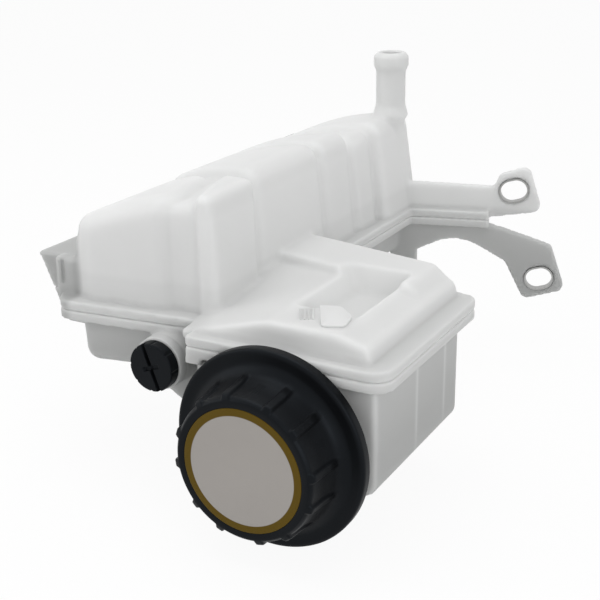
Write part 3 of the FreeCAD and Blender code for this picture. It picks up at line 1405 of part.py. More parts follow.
parts = [
    moulded("upper_shell", make_upper_shell()),
    moulded("lower_shell", make_lower_shell()),
    make_cap_shell(),
    make_cap_label(),
    make_valve_insert(),
    make_neck_seal(),
    make_insert_ring(),
    make_pressure_disc(),
    make_pressure_seal(),
    make_spring_retainer(),
    make_vacuum_valve(),
    make_vacuum_washer(),
    make_spring("pressure_spring", size("retainer_place") + size("retainer_thick"),
                disc_back() - size("pressure_disc_thick"), size("pressure_spring_radius"),
                size("pressure_wire"), size("pressure_turns")),
    make_spring("vacuum_spring", washer_back(), disc_back() - size("pressure_disc_thick"),
                size("vacuum_spring_radius"), size("vacuum_wire"), size("vacuum_turns")),
    make_bleed_screw(),
    make_bleed_ring(),
    make_sleeve("upper_sleeve", "upper_slot_along", "upper_slot_height"),
    make_sleeve("lower_sleeve", "lower_slot_along", "lower_slot_height"),
]
doc.recompute()

for item in doc.Objects:
    if "Invalid" in item.State or "Error" in item.State:
        raise RuntimeError("%s did not build: %s" % (item.Label, item.State))
os.makedirs("parts", exist_ok=True)
for part in parts:
    shape = part.Shape
    if shape.isNull() or not shape.isValid() or not shape.Solids:
        raise RuntimeError("%s has no sound shape" % part.Label)
    shape.exportStep(os.path.join("parts", part.Label + ".step"))
    box = shape.BoundBox
    print("%-18s solids %d  volume %9.0f  x %.1f..%.1f  y %.1f..%.1f  z %.1f..%.1f"
          % (part.Label, len(shape.Solids), shape.Volume, box.XMin, box.XMax, box.YMin, box.YMax,
             box.ZMin, box.ZMax))
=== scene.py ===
import math

import bmesh
import bpy
import numpy as np
from mathutils import Matrix, Vector


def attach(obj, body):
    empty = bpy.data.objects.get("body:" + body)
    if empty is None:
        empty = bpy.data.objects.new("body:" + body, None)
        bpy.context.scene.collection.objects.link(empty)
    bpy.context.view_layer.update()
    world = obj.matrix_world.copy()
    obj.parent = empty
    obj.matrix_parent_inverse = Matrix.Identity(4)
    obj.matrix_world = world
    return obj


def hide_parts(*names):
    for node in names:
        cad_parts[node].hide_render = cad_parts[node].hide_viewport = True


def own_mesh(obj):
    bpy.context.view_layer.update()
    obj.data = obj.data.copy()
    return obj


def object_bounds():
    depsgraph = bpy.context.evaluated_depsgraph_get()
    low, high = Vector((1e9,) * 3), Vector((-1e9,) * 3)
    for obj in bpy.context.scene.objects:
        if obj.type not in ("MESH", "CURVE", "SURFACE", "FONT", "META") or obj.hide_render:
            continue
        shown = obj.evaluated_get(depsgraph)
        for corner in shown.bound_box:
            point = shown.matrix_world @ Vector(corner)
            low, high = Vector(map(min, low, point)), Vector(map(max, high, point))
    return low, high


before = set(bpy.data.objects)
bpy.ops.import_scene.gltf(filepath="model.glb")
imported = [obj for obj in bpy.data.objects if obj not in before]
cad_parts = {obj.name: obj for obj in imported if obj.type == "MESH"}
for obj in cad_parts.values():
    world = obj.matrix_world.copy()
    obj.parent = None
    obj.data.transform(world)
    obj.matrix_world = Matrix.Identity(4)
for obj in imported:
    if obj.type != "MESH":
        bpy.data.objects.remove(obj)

cad_low, cad_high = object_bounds()

# Camera
# It stands to the right in front of the tank, a little above it, and looks down on the filler cap.
camera_data = bpy.data.cameras.new("camera")
camera = bpy.data.objects.new("camera", camera_data)
bpy.context.scene.collection.objects.link(camera)
bpy.context.scene.camera = camera
camera_data.lens = 69.0
camera_data.sensor_width = 36.0
camera_data.clip_start = 0.01
camera_data.clip_end = 20.0
camera_right = Vector((0.8744, 0.4851, -0.0131))
camera_up = Vector((-0.1576, 0.3093, 0.9378))
camera_back = camera_right.cross(camera_up).normalized()
camera_up = camera_back.cross(camera_right).normalized()
camera.matrix_world = Matrix.Translation((0.2401, -0.3834, 0.2433)) @ Matrix(
    (camera_right, camera_up, camera_back)).transposed().to_4x4()

# Floor and light
# A plain white studio: a wide floor that the camera sees as white, and large soft lamps above the tank and
# beside it. Gloss and glass see the same white, and the floor keeps the tank's shadow.
bpy.context.scene.view_settings.view_transform = "Standard"
world = bpy.data.worlds.new("studio")
bpy.context.scene.world = world
world.use_nodes = True
world_nodes, world_links = world.node_tree.nodes, world.node_tree.links
world_nodes.clear()


def background_share(nodes, links, share):
    """Socket that is share on the rays of the camera, of gloss and of glass, and 0 on all others."""
    path = nodes.new("ShaderNodeLightPath")
    first = nodes.new("ShaderNodeMath")
    first.operation = "MAXIMUM"
    links.new(path.outputs["Is Camera Ray"], first.inputs[0])
    links.new(path.outputs["Is Glossy Ray"], first.inputs[1])
    both = nodes.new("ShaderNodeMath")
    both.operation = "MAXIMUM"
    links.new(first.outputs[0], both.inputs[0])
    links.new(path.outputs["Is Transmission Ray"], both.inputs[1])
    scaled = nodes.new("ShaderNodeMath")
    scaled.operation = "MULTIPLY"
    scaled.inputs[1].default_value = share
    links.new(both.outputs[0], scaled.inputs[0])
    return scaled.outputs[0]


sky_dim = world_nodes.new("ShaderNodeBackground")
sky_dim.inputs["Color"].default_value = (1.0, 1.0, 1.0, 1.0)
sky_dim.inputs["Strength"].default_value = 0.60
sky_white = world_nodes.new("ShaderNodeBackground")
sky_white.inputs["Color"].default_value = (1.0, 1.0, 1.0, 1.0)
sky_white.inputs["Strength"].default_value = 1.0
sky_mix = world_nodes.new("ShaderNodeMixShader")
sky_out = world_nodes.new("ShaderNodeOutputWorld")
world_links.new(background_share(world_nodes, world_links, 1.0), sky_mix.inputs["Fac"])
world_links.new(sky_dim.outputs[0], sky_mix.inputs[1])
world_links.new(sky_white.outputs[0], sky_mix.inputs[2])
world_links.new(sky_mix.outputs[0], sky_out.inputs["Surface"])

floor_mesh = bpy.data.meshes.new("floor")
floor_reach = 3.0
floor_z = cad_low.z - 0.0004
floor_corners = [(x * floor_reach, y * floor_reach, floor_z) for x, y in ((-1, -1), (1, -1), (1, 1), (-1, 1))]
floor_mesh.from_pydata(floor_corners, [], [(0, 1, 2, 3)])
floor = bpy.data.objects.new("floor", floor_mesh)
bpy.context.scene.collection.objects.link(floor)
floor_paint = bpy.data.materials.new("floor_paint")
floor_paint.use_nodes = True
floor_nodes, floor_links = floor_paint.node_tree.nodes, floor_paint.node_tree.links
floor_shader = floor_nodes["Principled BSDF"]
floor_shader.inputs["Base Color"].default_value = (0.86, 0.86, 0.86, 1.0)
floor_shader.inputs["Roughness"].default_value = 0.9
floor_glow = floor_nodes.new("ShaderNodeEmission")
floor_glow.inputs["Strength"].default_value = 1.0
floor_mix = floor_nodes.new("ShaderNodeMixShader")
floor_links.new(background_share(floor_nodes, floor_links, 0.93), floor_mix.inputs["Fac"])
floor_links.new(floor_shader.outputs[0], floor_mix.inputs[1])
floor_links.new(floor_glow.outputs[0], floor_mix.inputs[2])
floor_links.new(floor_mix.outputs[0], floor_nodes["Material Output"].inputs["Surface"])
floor_mesh.materials.append(floor_paint)

centre = (cad_low + cad_high) / 2
for name, place, size, power in (
    ("lamp_top", (-0.15, 0.1, 1.1), 1.0, 5.0),
    ("lamp_left", (-0.9, -0.5, 0.5), 0.8, 2.5),
    ("lamp_right", (0.9, -0.5, 0.35), 0.6, 3.2),
):
    lamp_data = bpy.data.lights.new(name, "AREA")
    lamp_data.shape = "DISK"
    lamp_data.size = size
    lamp_data.energy = power
    lamp = bpy.data.objects.new(name, lamp_data)
    bpy.context.scene.collection.objects.link(lamp)
    lamp.location = Vector(place)
    lamp.rotation_mode = "QUATERNION"
    lamp.rotation_quaternion = (centre - Vector(place)).to_track_quat("-Z", "Y")


# Upper and lower shell
# Two injection mouldings of natural polypropylene with a satin skin, hot plate welded at their lips. Their
# colour carries painted light: a painted glow on the walls of the hollow chambers, painted shade on the solid
# plates and low down, painted highlights on the ridges and painted shade in the valleys.
def moulded_skin_group():
    """Skin of moulded plastic: fine grain for the bump, broad clouds for roughness and tone."""
    group = bpy.data.node_groups.new("moulded_skin", "ShaderNodeTree")
    for name, value in (("Grain per Metre", 900.0), ("Cloud per Metre", 28.0), ("Roughness", 0.4),
                        ("Roughness Change", 0.08)):
        socket = group.interface.new_socket(name, in_out="INPUT", socket_type="NodeSocketFloat")
        socket.default_value = value
    for socket in ("Height", "Roughness", "Cloud"):
        group.interface.new_socket(socket, in_out="OUTPUT", socket_type="NodeSocketFloat")
    nodes, links = group.nodes, group.links
    given, result = nodes.new("NodeGroupInput"), nodes.new("NodeGroupOutput")
    place = nodes.new("ShaderNodeTexCoord")
    grain = nodes.new("ShaderNodeTexNoise")
    grain.inputs["Detail"].default_value = 2.0
    cloud = nodes.new("ShaderNodeTexNoise")
    cloud.inputs["Detail"].default_value = 3.0
    links.new(place.outputs["Object"], grain.inputs["Vector"])
    links.new(place.outputs["Object"], cloud.inputs["Vector"])
    links.new(given.outputs["Grain per Metre"], grain.inputs["Scale"])
    links.new(given.outputs["Cloud per Metre"], cloud.inputs["Scale"])
    centred = nodes.new("ShaderNodeMath")
    centred.operation = "SUBTRACT"
    centred.inputs[1].default_value = 0.5
    links.new(cloud.outputs["Fac"], centred.inputs[0])
    spread = nodes.new("ShaderNodeMath")
    spread.operation = "MULTIPLY_ADD"
    links.new(centred.outputs[0], spread.inputs[0])
    links.new(given.outputs["Roughness Change"], spread.inputs[1])
    links.new(given.outputs["Roughness"], spread.inputs[2])
    links.new(grain.outputs["Fac"], result.inputs["Height"])
    links.new(spread.outputs[0], result.inputs["Roughness"])
    links.new(cloud.outputs["Fac"], result.inputs["Cloud"])
    return group


moulded_skin = moulded_skin_group()


def moulded(name, grain, roughness, change, depth, tones=None, between=(0.0, 1.0)):
    """A material whose roughness and bump come from the moulded skin, given with its nodes, links, shader and
    skin. With tones, the colour runs from the dark to the pale one as the clouds run between two values."""
    made = bpy.data.materials.new(name)
    made.use_nodes = True
    nodes, links = made.node_tree.nodes, made.node_tree.links
    shader = nodes["Principled BSDF"]
    skin = nodes.new("ShaderNodeGroup")
    skin.node_tree = moulded_skin
    skin.inputs["Grain per Metre"].default_value = grain
    skin.inputs["Roughness"].default_value = roughness
    skin.inputs["Roughness Change"].default_value = change
    bump = nodes.new("ShaderNodeBump")
    bump.inputs["Distance"].default_value = depth
    bump.inputs["Strength"].default_value = 0.5
    links.new(skin.outputs["Height"], bump.inputs["Height"])
    links.new(bump.outputs["Normal"], shader.inputs["Normal"])
    links.new(skin.outputs["Roughness"], shader.inputs["Roughness"])
    if tones:
        tone = nodes.new("ShaderNodeValToRGB")
        for stop, colour, place in zip(tone.color_ramp.elements, tones, between):
            stop.color = (*colour, 1.0)
            stop.position = place
        links.new(skin.outputs["Cloud"], tone.inputs["Fac"])
        links.new(tone.outputs["Color"], shader.inputs["Base Color"])
    return made, nodes, links, shader, skin


milky, milky_nodes, milky_links, milky_shader, milky_skin = moulded(
    "milky_plastic", grain=420.0, roughness=0.42, change=0.10, depth=0.00006)
milky_shader.inputs["IOR"].default_value = 1.49
milky_shader.inputs["Specular IOR Level"].default_value = 0.12
milky_shader.inputs["Transmission Weight"].default_value = 0.12
milky_shader.inputs["Subsurface Weight"].default_value = 0.6
milky_shader.inputs["Subsurface Radius"].default_value = (1.0, 1.0, 1.0)
milky_shader.inputs["Subsurface Scale"].default_value = 0.007
# Painted light: the base colour runs from a grey of painted shade to a pale painted glow as the attribute of
# painted light and shade runs from 0 to 1.
milky_wall = milky_nodes.new("ShaderNodeAttribute")
milky_wall.attribute_name = "wall"
milky_painted_light_colour = milky_nodes.new("ShaderNodeValToRGB")
milky_painted_light_colour.color_ramp.elements[0].color = (0.38, 0.385, 0.38, 1.0)
milky_painted_light_colour.color_ramp.elements[1].color = (0.86, 0.865, 0.86, 1.0)
milky_links.new(milky_wall.outputs["Fac"], milky_painted_light_colour.inputs["Fac"])
# Painted highlights on ridges and painted shade in valleys, laid over it by soft light.
milky_painted_ridge = milky_nodes.new("ShaderNodeAttribute")
milky_painted_ridge.attribute_name = "painted_ridge_light"
milky_ridge_highlight_colour = milky_nodes.new("ShaderNodeValToRGB")
milky_ridge_highlight_colour.color_ramp.elements[0].color = (0.30, 0.30, 0.30, 1.0)
milky_ridge_highlight_colour.color_ramp.elements[1].color = (0.70, 0.70, 0.70, 1.0)
milky_links.new(milky_painted_ridge.outputs["Fac"], milky_ridge_highlight_colour.inputs["Fac"])
milky_painted_highlight_mix = milky_nodes.new("ShaderNodeMix")
milky_painted_highlight_mix.data_type = "RGBA"
milky_painted_highlight_mix.blend_type = "SOFT_LIGHT"
milky_painted_highlight_mix.inputs["Factor"].default_value = 0.38
milky_links.new(milky_painted_light_colour.outputs["Color"], milky_painted_highlight_mix.inputs["A"])
milky_links.new(milky_ridge_highlight_colour.outputs["Color"], milky_painted_highlight_mix.inputs["B"])
milky_cloud = milky_nodes.new("ShaderNodeMapRange")
milky_cloud.inputs["To Min"].default_value = 0.97
milky_cloud.inputs["To Max"].default_value = 1.0
milky_links.new(milky_skin.outputs["Cloud"], milky_cloud.inputs["Value"])
milky_colour = milky_nodes.new("ShaderNodeVectorMath")
milky_colour.operation = "SCALE"
milky_links.new(milky_painted_highlight_mix.outputs["Result"], milky_colour.inputs[0])
milky_links.new(milky_cloud.outputs["Result"], milky_colour.inputs["Scale"])
milky_links.new(milky_colour.outputs["Vector"], milky_shader.inputs["Base Color"])

# places in mm, and the painted light and shade by height
SKIN_VOXEL = 0.0014
WELD_HEIGHT = 40.0
INNER_WALLS = (71.8, 105.8)
BRACKET_X = (122.0, 127.0)
SPIGOT_AXIS = (-56.0, 262.0)
BLEED_AXIS = (-68.0, 24.0)
ARM_ROOT = (-43.0, 265.0)
ARM_TURN = math.radians(16)
PAINTED_LIGHT_HEIGHTS = (-29.0, 0.0, 32.0, 36.0, 45.0, 48.0, 57.0, 60.0, 92.0, 104.0, 141.0)
PAINTED_LIGHT_LEVELS = (0.04, 0.10, 0.30, 0.42, 0.52, 0.78, 0.80, 0.88, 1.0, 0.84, 0.72)


def ramp(value, start, stop):
    """Smooth step from 0 at start to 1 at stop: 3t^2 - 2t^3."""
    t = np.clip((value - start) / (stop - start), 0.0, 1.0)
    return t * t * (3.0 - 2.0 * t)


def point_values(skin, kind):
    """The positions (co) or normals (normal) of a mesh's points as an array of rows."""
    values = np.empty(len(skin.vertices) * 3, np.float32)
    skin.vertices.foreach_get(kind, values)
    return values.reshape(-1, 3).astype(float)


def neighbour_mean(skin):
    """A function that takes a value for each point and gives the mean over the points an edge away."""
    count = len(skin.vertices)
    ends = np.empty(len(skin.edges) * 2, np.int32)
    skin.edges.foreach_get("vertices", ends)
    first, second = ends.reshape(-1, 2).T
    share = 1.0 / np.maximum(np.bincount(ends, minlength=count), 1)

    def mean(values):
        total = np.bincount(first, values[second], count) + np.bincount(second, values[first], count)
        return total * share

    return mean


def paint_walls(skin):
    """Two values of painted light and shade for each point. The ridge value, a painted highlight on outer
    bends and painted shade in valleys, is 0.5 on flat ground, more on an outer bend and less in a valley: the
    distance of a point to the mean of its neighbours along its normal, averaged five times. The second value,
    a painted glow with painted shade, follows the height z: 1 on the tower's chambers, less on the deck, and
    little on the lower shell. The bracket and the arms get painted shade, and the neck's front, the weld and
    the inner walls' lines get painted light."""
    place = point_values(skin, "co")
    mean = neighbour_mean(skin)
    middle = np.stack([mean(place[:, axis]) for axis in range(3)], axis=1)
    bend = np.einsum("ij,ij->i", place - middle, point_values(skin, "normal")) * 1000.0
    for turn in range(5):
        bend = mean(bend)
    painted_ridge_light = np.clip(0.5 + bend * 2.2, 0.0, 1.0)
    x, y, z = place.T * 1000.0
    # Painted glow and painted shade by height.
    wall = np.interp(z, PAINTED_LIGHT_HEIGHTS, PAINTED_LIGHT_LEVELS)
    # Painted shade on the bracket and the arms.
    wall *= 1.0 - 0.8 * ramp(-x, *BRACKET_X)
    wall *= 1.0 - 0.12 * ramp(x, -5.0, 15.0) * ramp(y, 262.0, 280.0)
    # Painted light on the neck's front against its shade, and on the weld against the shade in its gap.
    wall += 0.35 * ramp(-y, -30.0, -26.0) * ramp(-z, -34.0, -30.0)
    wall += 0.4 * np.exp(-((z - WELD_HEIGHT) / 1.1) ** 2)
    # Painted light along the lines where the inner walls meet the shell, as light through the wall.
    painted_inner_wall_lines = sum(np.exp(-((y - inner) / 1.2) ** 2) for inner in INNER_WALLS)
    painted_inner_wall_lines *= ramp(x, 44.0, 46.0) * ramp(-z, -34.0, -31.0) * ramp(z, -22.0, 0.0)
    for label, values in (("painted_ridge_light", painted_ridge_light), ("wall", np.clip(wall + 0.3 * painted_inner_wall_lines, 0.0, 1.0))):
        skin.attributes.new(label, "FLOAT", "POINT").data.foreach_set("value", values.astype(np.float32))


def add_block(made, block):
    """A block into a bmesh: four corners of its bottom and four of its top in mm, left front, right front,
    left back and right back."""
    for corner in bmesh.ops.create_cube(made, size=1.0)["verts"]:
        side = block[1] if corner.co.z > 0 else block[0]
        corner.co = Vector(side[(corner.co.x > 0) + 2 * (corner.co.y > 0)]) / 1000.0


def soft_moulding(node, name, weight, passes, fills=(), cuts=()):
    """A fresh skin over a CAD node. Each point moves in turns towards the mean of its neighbours,
    p + k w (mean - p), with k = 0.55 and then k = -0.57 so that the form keeps its size; w is the weight at
    the point, and where w is 0 the point lies on the CAD surface."""
    merged = bmesh.new()
    merged.from_mesh(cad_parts[node].data)
    bmesh.ops.remove_doubles(merged, verts=merged.verts, dist=1e-6)
    for block in fills:
        add_block(merged, block)
    base = bpy.data.meshes.new(name + "_base")
    merged.to_mesh(base)
    merged.free()
    carrier = bpy.data.objects.new(name + "_base", base)
    bpy.context.scene.collection.objects.link(carrier)
    cutters = []
    for block in cuts:
        shape = bmesh.new()
        add_block(shape, block)
        cutter = bpy.data.objects.new(name + "_cut", bpy.data.meshes.new(name + "_cut"))
        shape.to_mesh(cutter.data)
        shape.free()
        bpy.context.scene.collection.objects.link(cutter)
        cut = carrier.modifiers.new("cut", "BOOLEAN")
        cut.operation = "DIFFERENCE"
        cut.solver = "EXACT"
        cut.object = cutter
        cutters.append(cutter)
    remesh = carrier.modifiers.new("voxels", "REMESH")
    remesh.mode = "VOXEL"
    remesh.voxel_size = SKIN_VOXEL
    remesh.use_smooth_shade = True
    depsgraph = bpy.context.evaluated_depsgraph_get()
    skin = bpy.data.meshes.new_from_object(carrier.evaluated_get(depsgraph))
    skin.name = name
    place = point_values(skin, "co")
    mean = neighbour_mean(skin)
    soft = weight(*(place.T * 1000.0))
    for turn in range(passes):
        for step in (0.55, -0.57):
            middle = np.stack([mean(place[:, axis]) for axis in range(3)], axis=1)
            place += step * soft[:, None] * (middle - place)
    skin.vertices.foreach_set("co", place.astype(np.float32).ravel())
    skin.update()
    made = bpy.data.objects.new(name, skin)
    bpy.context.scene.collection.objects.link(made)
    group = made.vertex_groups.new(name="crisp")
    crisp = np.clip(1.0 - soft * 4.0, 0.0, 1.0)
    for level in (0.25, 0.5, 0.75, 1.0):
        members = np.nonzero((crisp > level - 0.25) & (crisp <= level))[0]
        group.add(members.tolist(), level, "REPLACE")
    wrap = made.modifiers.new("wrap", "SHRINKWRAP")
    wrap.target = carrier
    remesh.show_viewport = remesh.show_render = False
    wrap.wrap_method = "NEAREST_SURFACEPOINT"
    wrap.vertex_group = "crisp"
    depsgraph = bpy.context.evaluated_depsgraph_get()
    final = bpy.data.meshes.new_from_object(made.evaluated_get(depsgraph))
    made.modifiers.clear()
    made.vertex_groups.clear()
    made.data = final
    final.name = name
    for helper in cutters + [carrier]:
        bpy.data.objects.remove(helper)
    # Painted light and shade go onto the skin as point attributes.
    paint_walls(final)
    return made


def off_arms(x, y):
    """1 on the tank and 0 on the arms, by the distance past their root along their lean."""
    along = (x - ARM_ROOT[0]) * math.cos(ARM_TURN) + (y - ARM_ROOT[1]) * math.sin(ARM_TURN)
    return 1.0 - ramp(along, -2.0, 4.0) * ramp(y, 205.0, 220.0)


def upper_weight(x, y, z):
    """Soft above the lip, crisp on the spigot, the arm and the bracket."""
    spigot = np.hypot(x - SPIGOT_AXIS[0], y - SPIGOT_AXIS[1])
    soft = ramp(z, 45.3, 47.5) * off_arms(x, y)
    soft *= 1.0 - ramp(z, 112.0, 116.0) * ramp(-spigot, -15.0, -12.0)
    return soft * ramp(x, -133.5, -131.5)


def lower_weight(x, y, z):
    """Soft below the lip, crisp on the neck, the bleed boss, the arm and the bracket."""
    boss = np.hypot(x - BLEED_AXIS[0], z - BLEED_AXIS[1])
    soft = ramp(-z, -36.0, -33.5) * off_arms(x, y)
    soft *= 1.0 - ramp(-y, -27.5, -25.0)
    soft *= 1.0 - ramp(-boss, -17.0, -14.0) * ramp(-y, -60.0, -50.0)
    return soft * ramp(x, -128.0, -126.5)


# the recess ends further back than in the solid, and the solid's pad gives way to the one on the deck
recess_end = (((3.4, 43.0, 46.6), (26.4, 43.0, 46.6), (3.4, 53.5, 46.6), (26.4, 49.5, 46.6)),
              ((-6.6, 43.0, 56.5), (28.2, 43.0, 56.5), (-6.6, 52.5, 56.5), (28.2, 48.5, 56.5)))
pad_column = (((3.2, 53.6, 48.05), (26.2, 49.6, 48.05), (3.2, 66.0, 48.05), (26.2, 66.0, 48.05)),
              ((3.2, 53.6, 60.0), (26.2, 49.6, 60.0), (3.2, 66.0, 60.0), (26.2, 66.0, 60.0)))
upper = soft_moulding("upper_shell", "upper_skin", upper_weight, 20, [recess_end], [pad_column])
lower = soft_moulding("lower_shell", "lower_skin", lower_weight, 12)
for piece, node in ((upper, "upper_shell"), (lower, "lower_shell")):
    piece.data.materials.clear()
    piece.data.materials.append(milky)
    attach(piece, "tank")
    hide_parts(node)


# Filler cap
# One moulding of black glass filled polyamide: a grip with twelve ribs in six pairs, a dished skirt and a
# threaded sleeve inside. It screws onto the neck and carries the valve insert.
def closed_piece(name, points, faces, merge=0.0):
    """A smooth piece from points and faces: points nearer than merge are joined, faces turned outwards."""
    mesh = bpy.data.meshes.new(name)
    mesh.from_pydata(points, [], faces)
    made = bmesh.new()
    made.from_mesh(mesh)
    if merge:
        bmesh.ops.remove_doubles(made, verts=made.verts, dist=merge)
    bmesh.ops.recalc_face_normals(made, faces=made.faces)
    made.to_mesh(mesh)
    made.free()
    mesh.shade_smooth()
    piece = bpy.data.objects.new(name, mesh)
    bpy.context.scene.collection.objects.link(piece)
    return piece


def turned_piece(name, profile, steps, shift=None, centre=(0.0, 0.0)):
    """A closed surface of revolution about an axis along Y: the point (r, y) of the profile at the angle t
    lies at (r sin t, y, r cos t). Shift may move r and y by angle and place. The profile ends on the axis or
    where it starts."""
    r, y = (np.asarray(line, float)[:, None] for line in zip(*profile))
    t = np.linspace(0.0, 2.0 * math.pi, steps, endpoint=False)[None, :]
    radius, along = (np.broadcast_to(line, (len(line), steps)).copy() for line in (r, y))
    if shift is not None:
        radius, along = shift(radius, along, t)
    grid = np.stack([radius * np.sin(t) + centre[0], along, radius * np.cos(t) + centre[1]], axis=-1) / 1000.0
    index = np.arange(radius.size).reshape(radius.shape)
    turned = np.roll(index, -1, axis=1)
    quads = np.stack([index[:-1], index[1:], turned[1:], turned[:-1]], axis=-1).reshape(-1, 4)
    return closed_piece(name, grid.reshape(-1, 3).tolist(), quads.tolist(), merge=2e-6)


def bent(corners, step):
    """A profile line with round corners: (r, y, radius) corners, each arc a quadratic curve between its two
    tangent points, and points about step(r, y) apart on the straight runs, or step where it is a number."""
    points = [np.array(corners[0][:2], float)]
    for before, here, after in zip(corners[:-2], corners[1:-1], corners[2:]):
        here_at = np.array(here[:2], float)
        back, ahead = np.array(before[:2]) - here_at, np.array(after[:2]) - here_at
        reach = min(here[2], 0.49 * np.linalg.norm(back), 0.49 * np.linalg.norm(ahead))
        start = here_at + back / np.linalg.norm(back) * reach
        stop = here_at + ahead / np.linalg.norm(ahead) * reach
        for share in np.linspace(0.0, 1.0, 6 if here[2] > 0.35 else 3):
            points.append(start * (1 - share) ** 2 + here_at * 2 * share * (1 - share) + stop * share ** 2)
    points.append(np.array(corners[-1][:2], float))
    line = [points[0]]
    for start, stop in zip(points[:-1], points[1:]):
        length = np.linalg.norm(stop - start)
        if length < 1e-6:
            continue
        parts = max(1, int(math.ceil(length / (step(*start) if callable(step) else step))))
        line.extend(start + (stop - start) * part / parts for part in range(1, parts + 1))
    return line


CAP_SLEEVE_IN = 24.96
RIB_HEIGHT = 1.6
RIB_PLACES = (-67.75, -42.25)
LINE_PLACE = -25.0
LINE_HEIGHT = 0.13
CAP_PITCH = 4.0


def off_turn(t, turn):
    """Angle between t and a turn, by the short way round."""
    return (t - turn + math.pi) % (2.0 * math.pi) - math.pi


def thread(along, t, pitch):
    """Helix about an axis along Y: twice the distance of the share (y / pitch - t / 2 pi) mod 1 from a half,
    which is 1 where a turn starts and 0 half a pitch on."""
    return np.abs(((along / pitch - t / (2.0 * math.pi)) % 1.0) - 0.5) * 2.0


def cap_shift(radius, along, t):
    """Ribs of the grip, short raised lines between them and the thread in the sleeve. A rib is a flat topped
    bump across 4.2 mm of the grip, and it fades out in the skirt's hollow; the thread is a helix."""
    outer = (radius > 33.0) & (along < 12.6) & (along > -10.1)
    grip_line = np.interp(along, (-10.0, -8.4, 3.0, 12.0), (33.4, 34.8, 35.6, 39.0))
    on_grip = outer * ramp(-np.abs(radius - grip_line), -6.0, -2.0)
    height = RIB_HEIGHT * ramp(along, -10.2, -8.8) * ramp(-along, -11.4, -3.0)
    rise = np.zeros_like(radius)
    for pair in range(6):
        for rib in RIB_PLACES:
            off = np.abs(off_turn(t, math.radians(90.0 + rib + 60.0 * pair))) * radius
            rise = np.maximum(rise, ramp(-off, -2.5, -1.4))
        middle = math.radians(90.0 + LINE_PLACE + 60.0 * pair)
        for line in (-1.3, 0.0, 1.3):
            off = np.abs(off_turn(t, middle) + line / 34.0) * radius
            mark = ramp(-off, -0.42, -0.12) * ramp(along, -3.5, -2.5) * ramp(-along, -5.0, -4.0)
            rise = np.maximum(rise, LINE_HEIGHT * mark)
    sleeve = (np.abs(radius - CAP_SLEEVE_IN) < 0.01) & (along > -6.5) & (along < 11.5)
    crest = 0.5 * ramp(thread(along, t, CAP_PITCH), 0.45, 0.8)
    return radius + on_grip * height * rise + sleeve * crest, along


def cap_step(r, y):
    """Fine steps on the grip and along the thread, wide ones on the plain faces."""
    if 33.0 < r < 45.0 and y < 12.5:
        return 0.8
    return 1.1 if r < 25.0 and y > -7.0 else 3.0


cap_line = bent([
    (0.0, -9.2, 0.0), (29.96, -9.2, 0.1), (29.96, -10.0, 0.25), (33.2, -10.0, 0.5), (34.75, -8.4, 1.2),
    (35.55, 3.0, 4.0), (37.6, 9.6, 3.0), (41.5, 12.4, 3.0), (44.5, 12.4, 2.0), (48.75, 12.02, 2.6),
    (48.75, 17.6, 0.5), (48.3, 18.0, 0.4), (46.4, 18.0, 0.2), (46.4, 14.4, 0.4), (36.6, 14.4, 1.0),
    (32.8, 5.0, 2.0), (32.2, -7.2, 0.5), (27.56, -7.2, 0.3), (27.56, 12.0, 0.2), (CAP_SLEEVE_IN, 12.0, 0.2),
    (CAP_SLEEVE_IN, -7.2, 0.3), (0.0, -7.2, 0.0)], cap_step)
cap_skin = turned_piece("cap_skin", cap_line, 560, cap_shift)

# Black plastic. The faint blue in its dark tones and the bluish specular tint are a painted bluish sheen; the
# spread of the tones by the clouds is the plastic's own.
black, _, _, black_shader, _ = moulded(
    "black_plastic", grain=1500.0, roughness=0.44, change=0.12, depth=0.00003,
    tones=((0.0022, 0.0023, 0.0025), (0.0042, 0.0046, 0.0054)), between=(0.3, 0.75))
black_shader.inputs["Specular IOR Level"].default_value = 0.12
black_shader.inputs["Specular Tint"].default_value = (0.74, 0.86, 1.0, 1.0)
cap_skin.data.materials.append(black)
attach(cap_skin, "cap")
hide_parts("cap_shell")

# Label on the cap
# A thin round plate of printed film, pressed into the recess of the cap's face: a mustard ring round a plain
# off-white field, left bare.
label_line = bent([(0.0, -10.0, 0.0), (29.85, -10.0, 0.2), (29.85, -9.22, 0.05), (0.0, -9.22, 0.0)], 0.7)
label_skin = turned_piece("label_skin", label_line, 240)
film, film_nodes, film_links, film_shader, film_skin = moulded(
    "label_film", grain=2600.0, roughness=0.42, change=0.10, depth=0.00001)
film_shader.inputs["Specular IOR Level"].default_value = 0.12
film_place = film_nodes.new("ShaderNodeTexCoord")
film_flat = film_nodes.new("ShaderNodeVectorMath")
film_flat.operation = "MULTIPLY"
film_flat.inputs[1].default_value = (1.0, 0.0, 1.0)
film_links.new(film_place.outputs["Object"], film_flat.inputs[0])
film_reach = film_nodes.new("ShaderNodeVectorMath")
film_reach.operation = "LENGTH"
film_links.new(film_flat.outputs["Vector"], film_reach.inputs[0])
film_share = film_nodes.new("ShaderNodeMapRange")
film_share.inputs["From Max"].default_value = 0.03
film_links.new(film_reach.outputs["Value"], film_share.inputs["Value"])
film_print = film_nodes.new("ShaderNodeValToRGB")
film_print.color_ramp.elements[0].color = (0.335, 0.315, 0.296, 1.0)
film_print.color_ramp.elements[0].position = 0.872
film_print.color_ramp.elements[1].color = (0.092, 0.056, 0.0008, 1.0)
film_print.color_ramp.elements[1].position = 0.880
film_links.new(film_share.outputs["Result"], film_print.inputs["Fac"])
film_age = film_nodes.new("ShaderNodeMapRange")
film_age.inputs["To Min"].default_value = 0.93
film_age.inputs["To Max"].default_value = 1.04
film_links.new(film_skin.outputs["Cloud"], film_age.inputs["Value"])
film_colour = film_nodes.new("ShaderNodeVectorMath")
film_colour.operation = "SCALE"
film_links.new(film_print.outputs["Color"], film_colour.inputs[0])
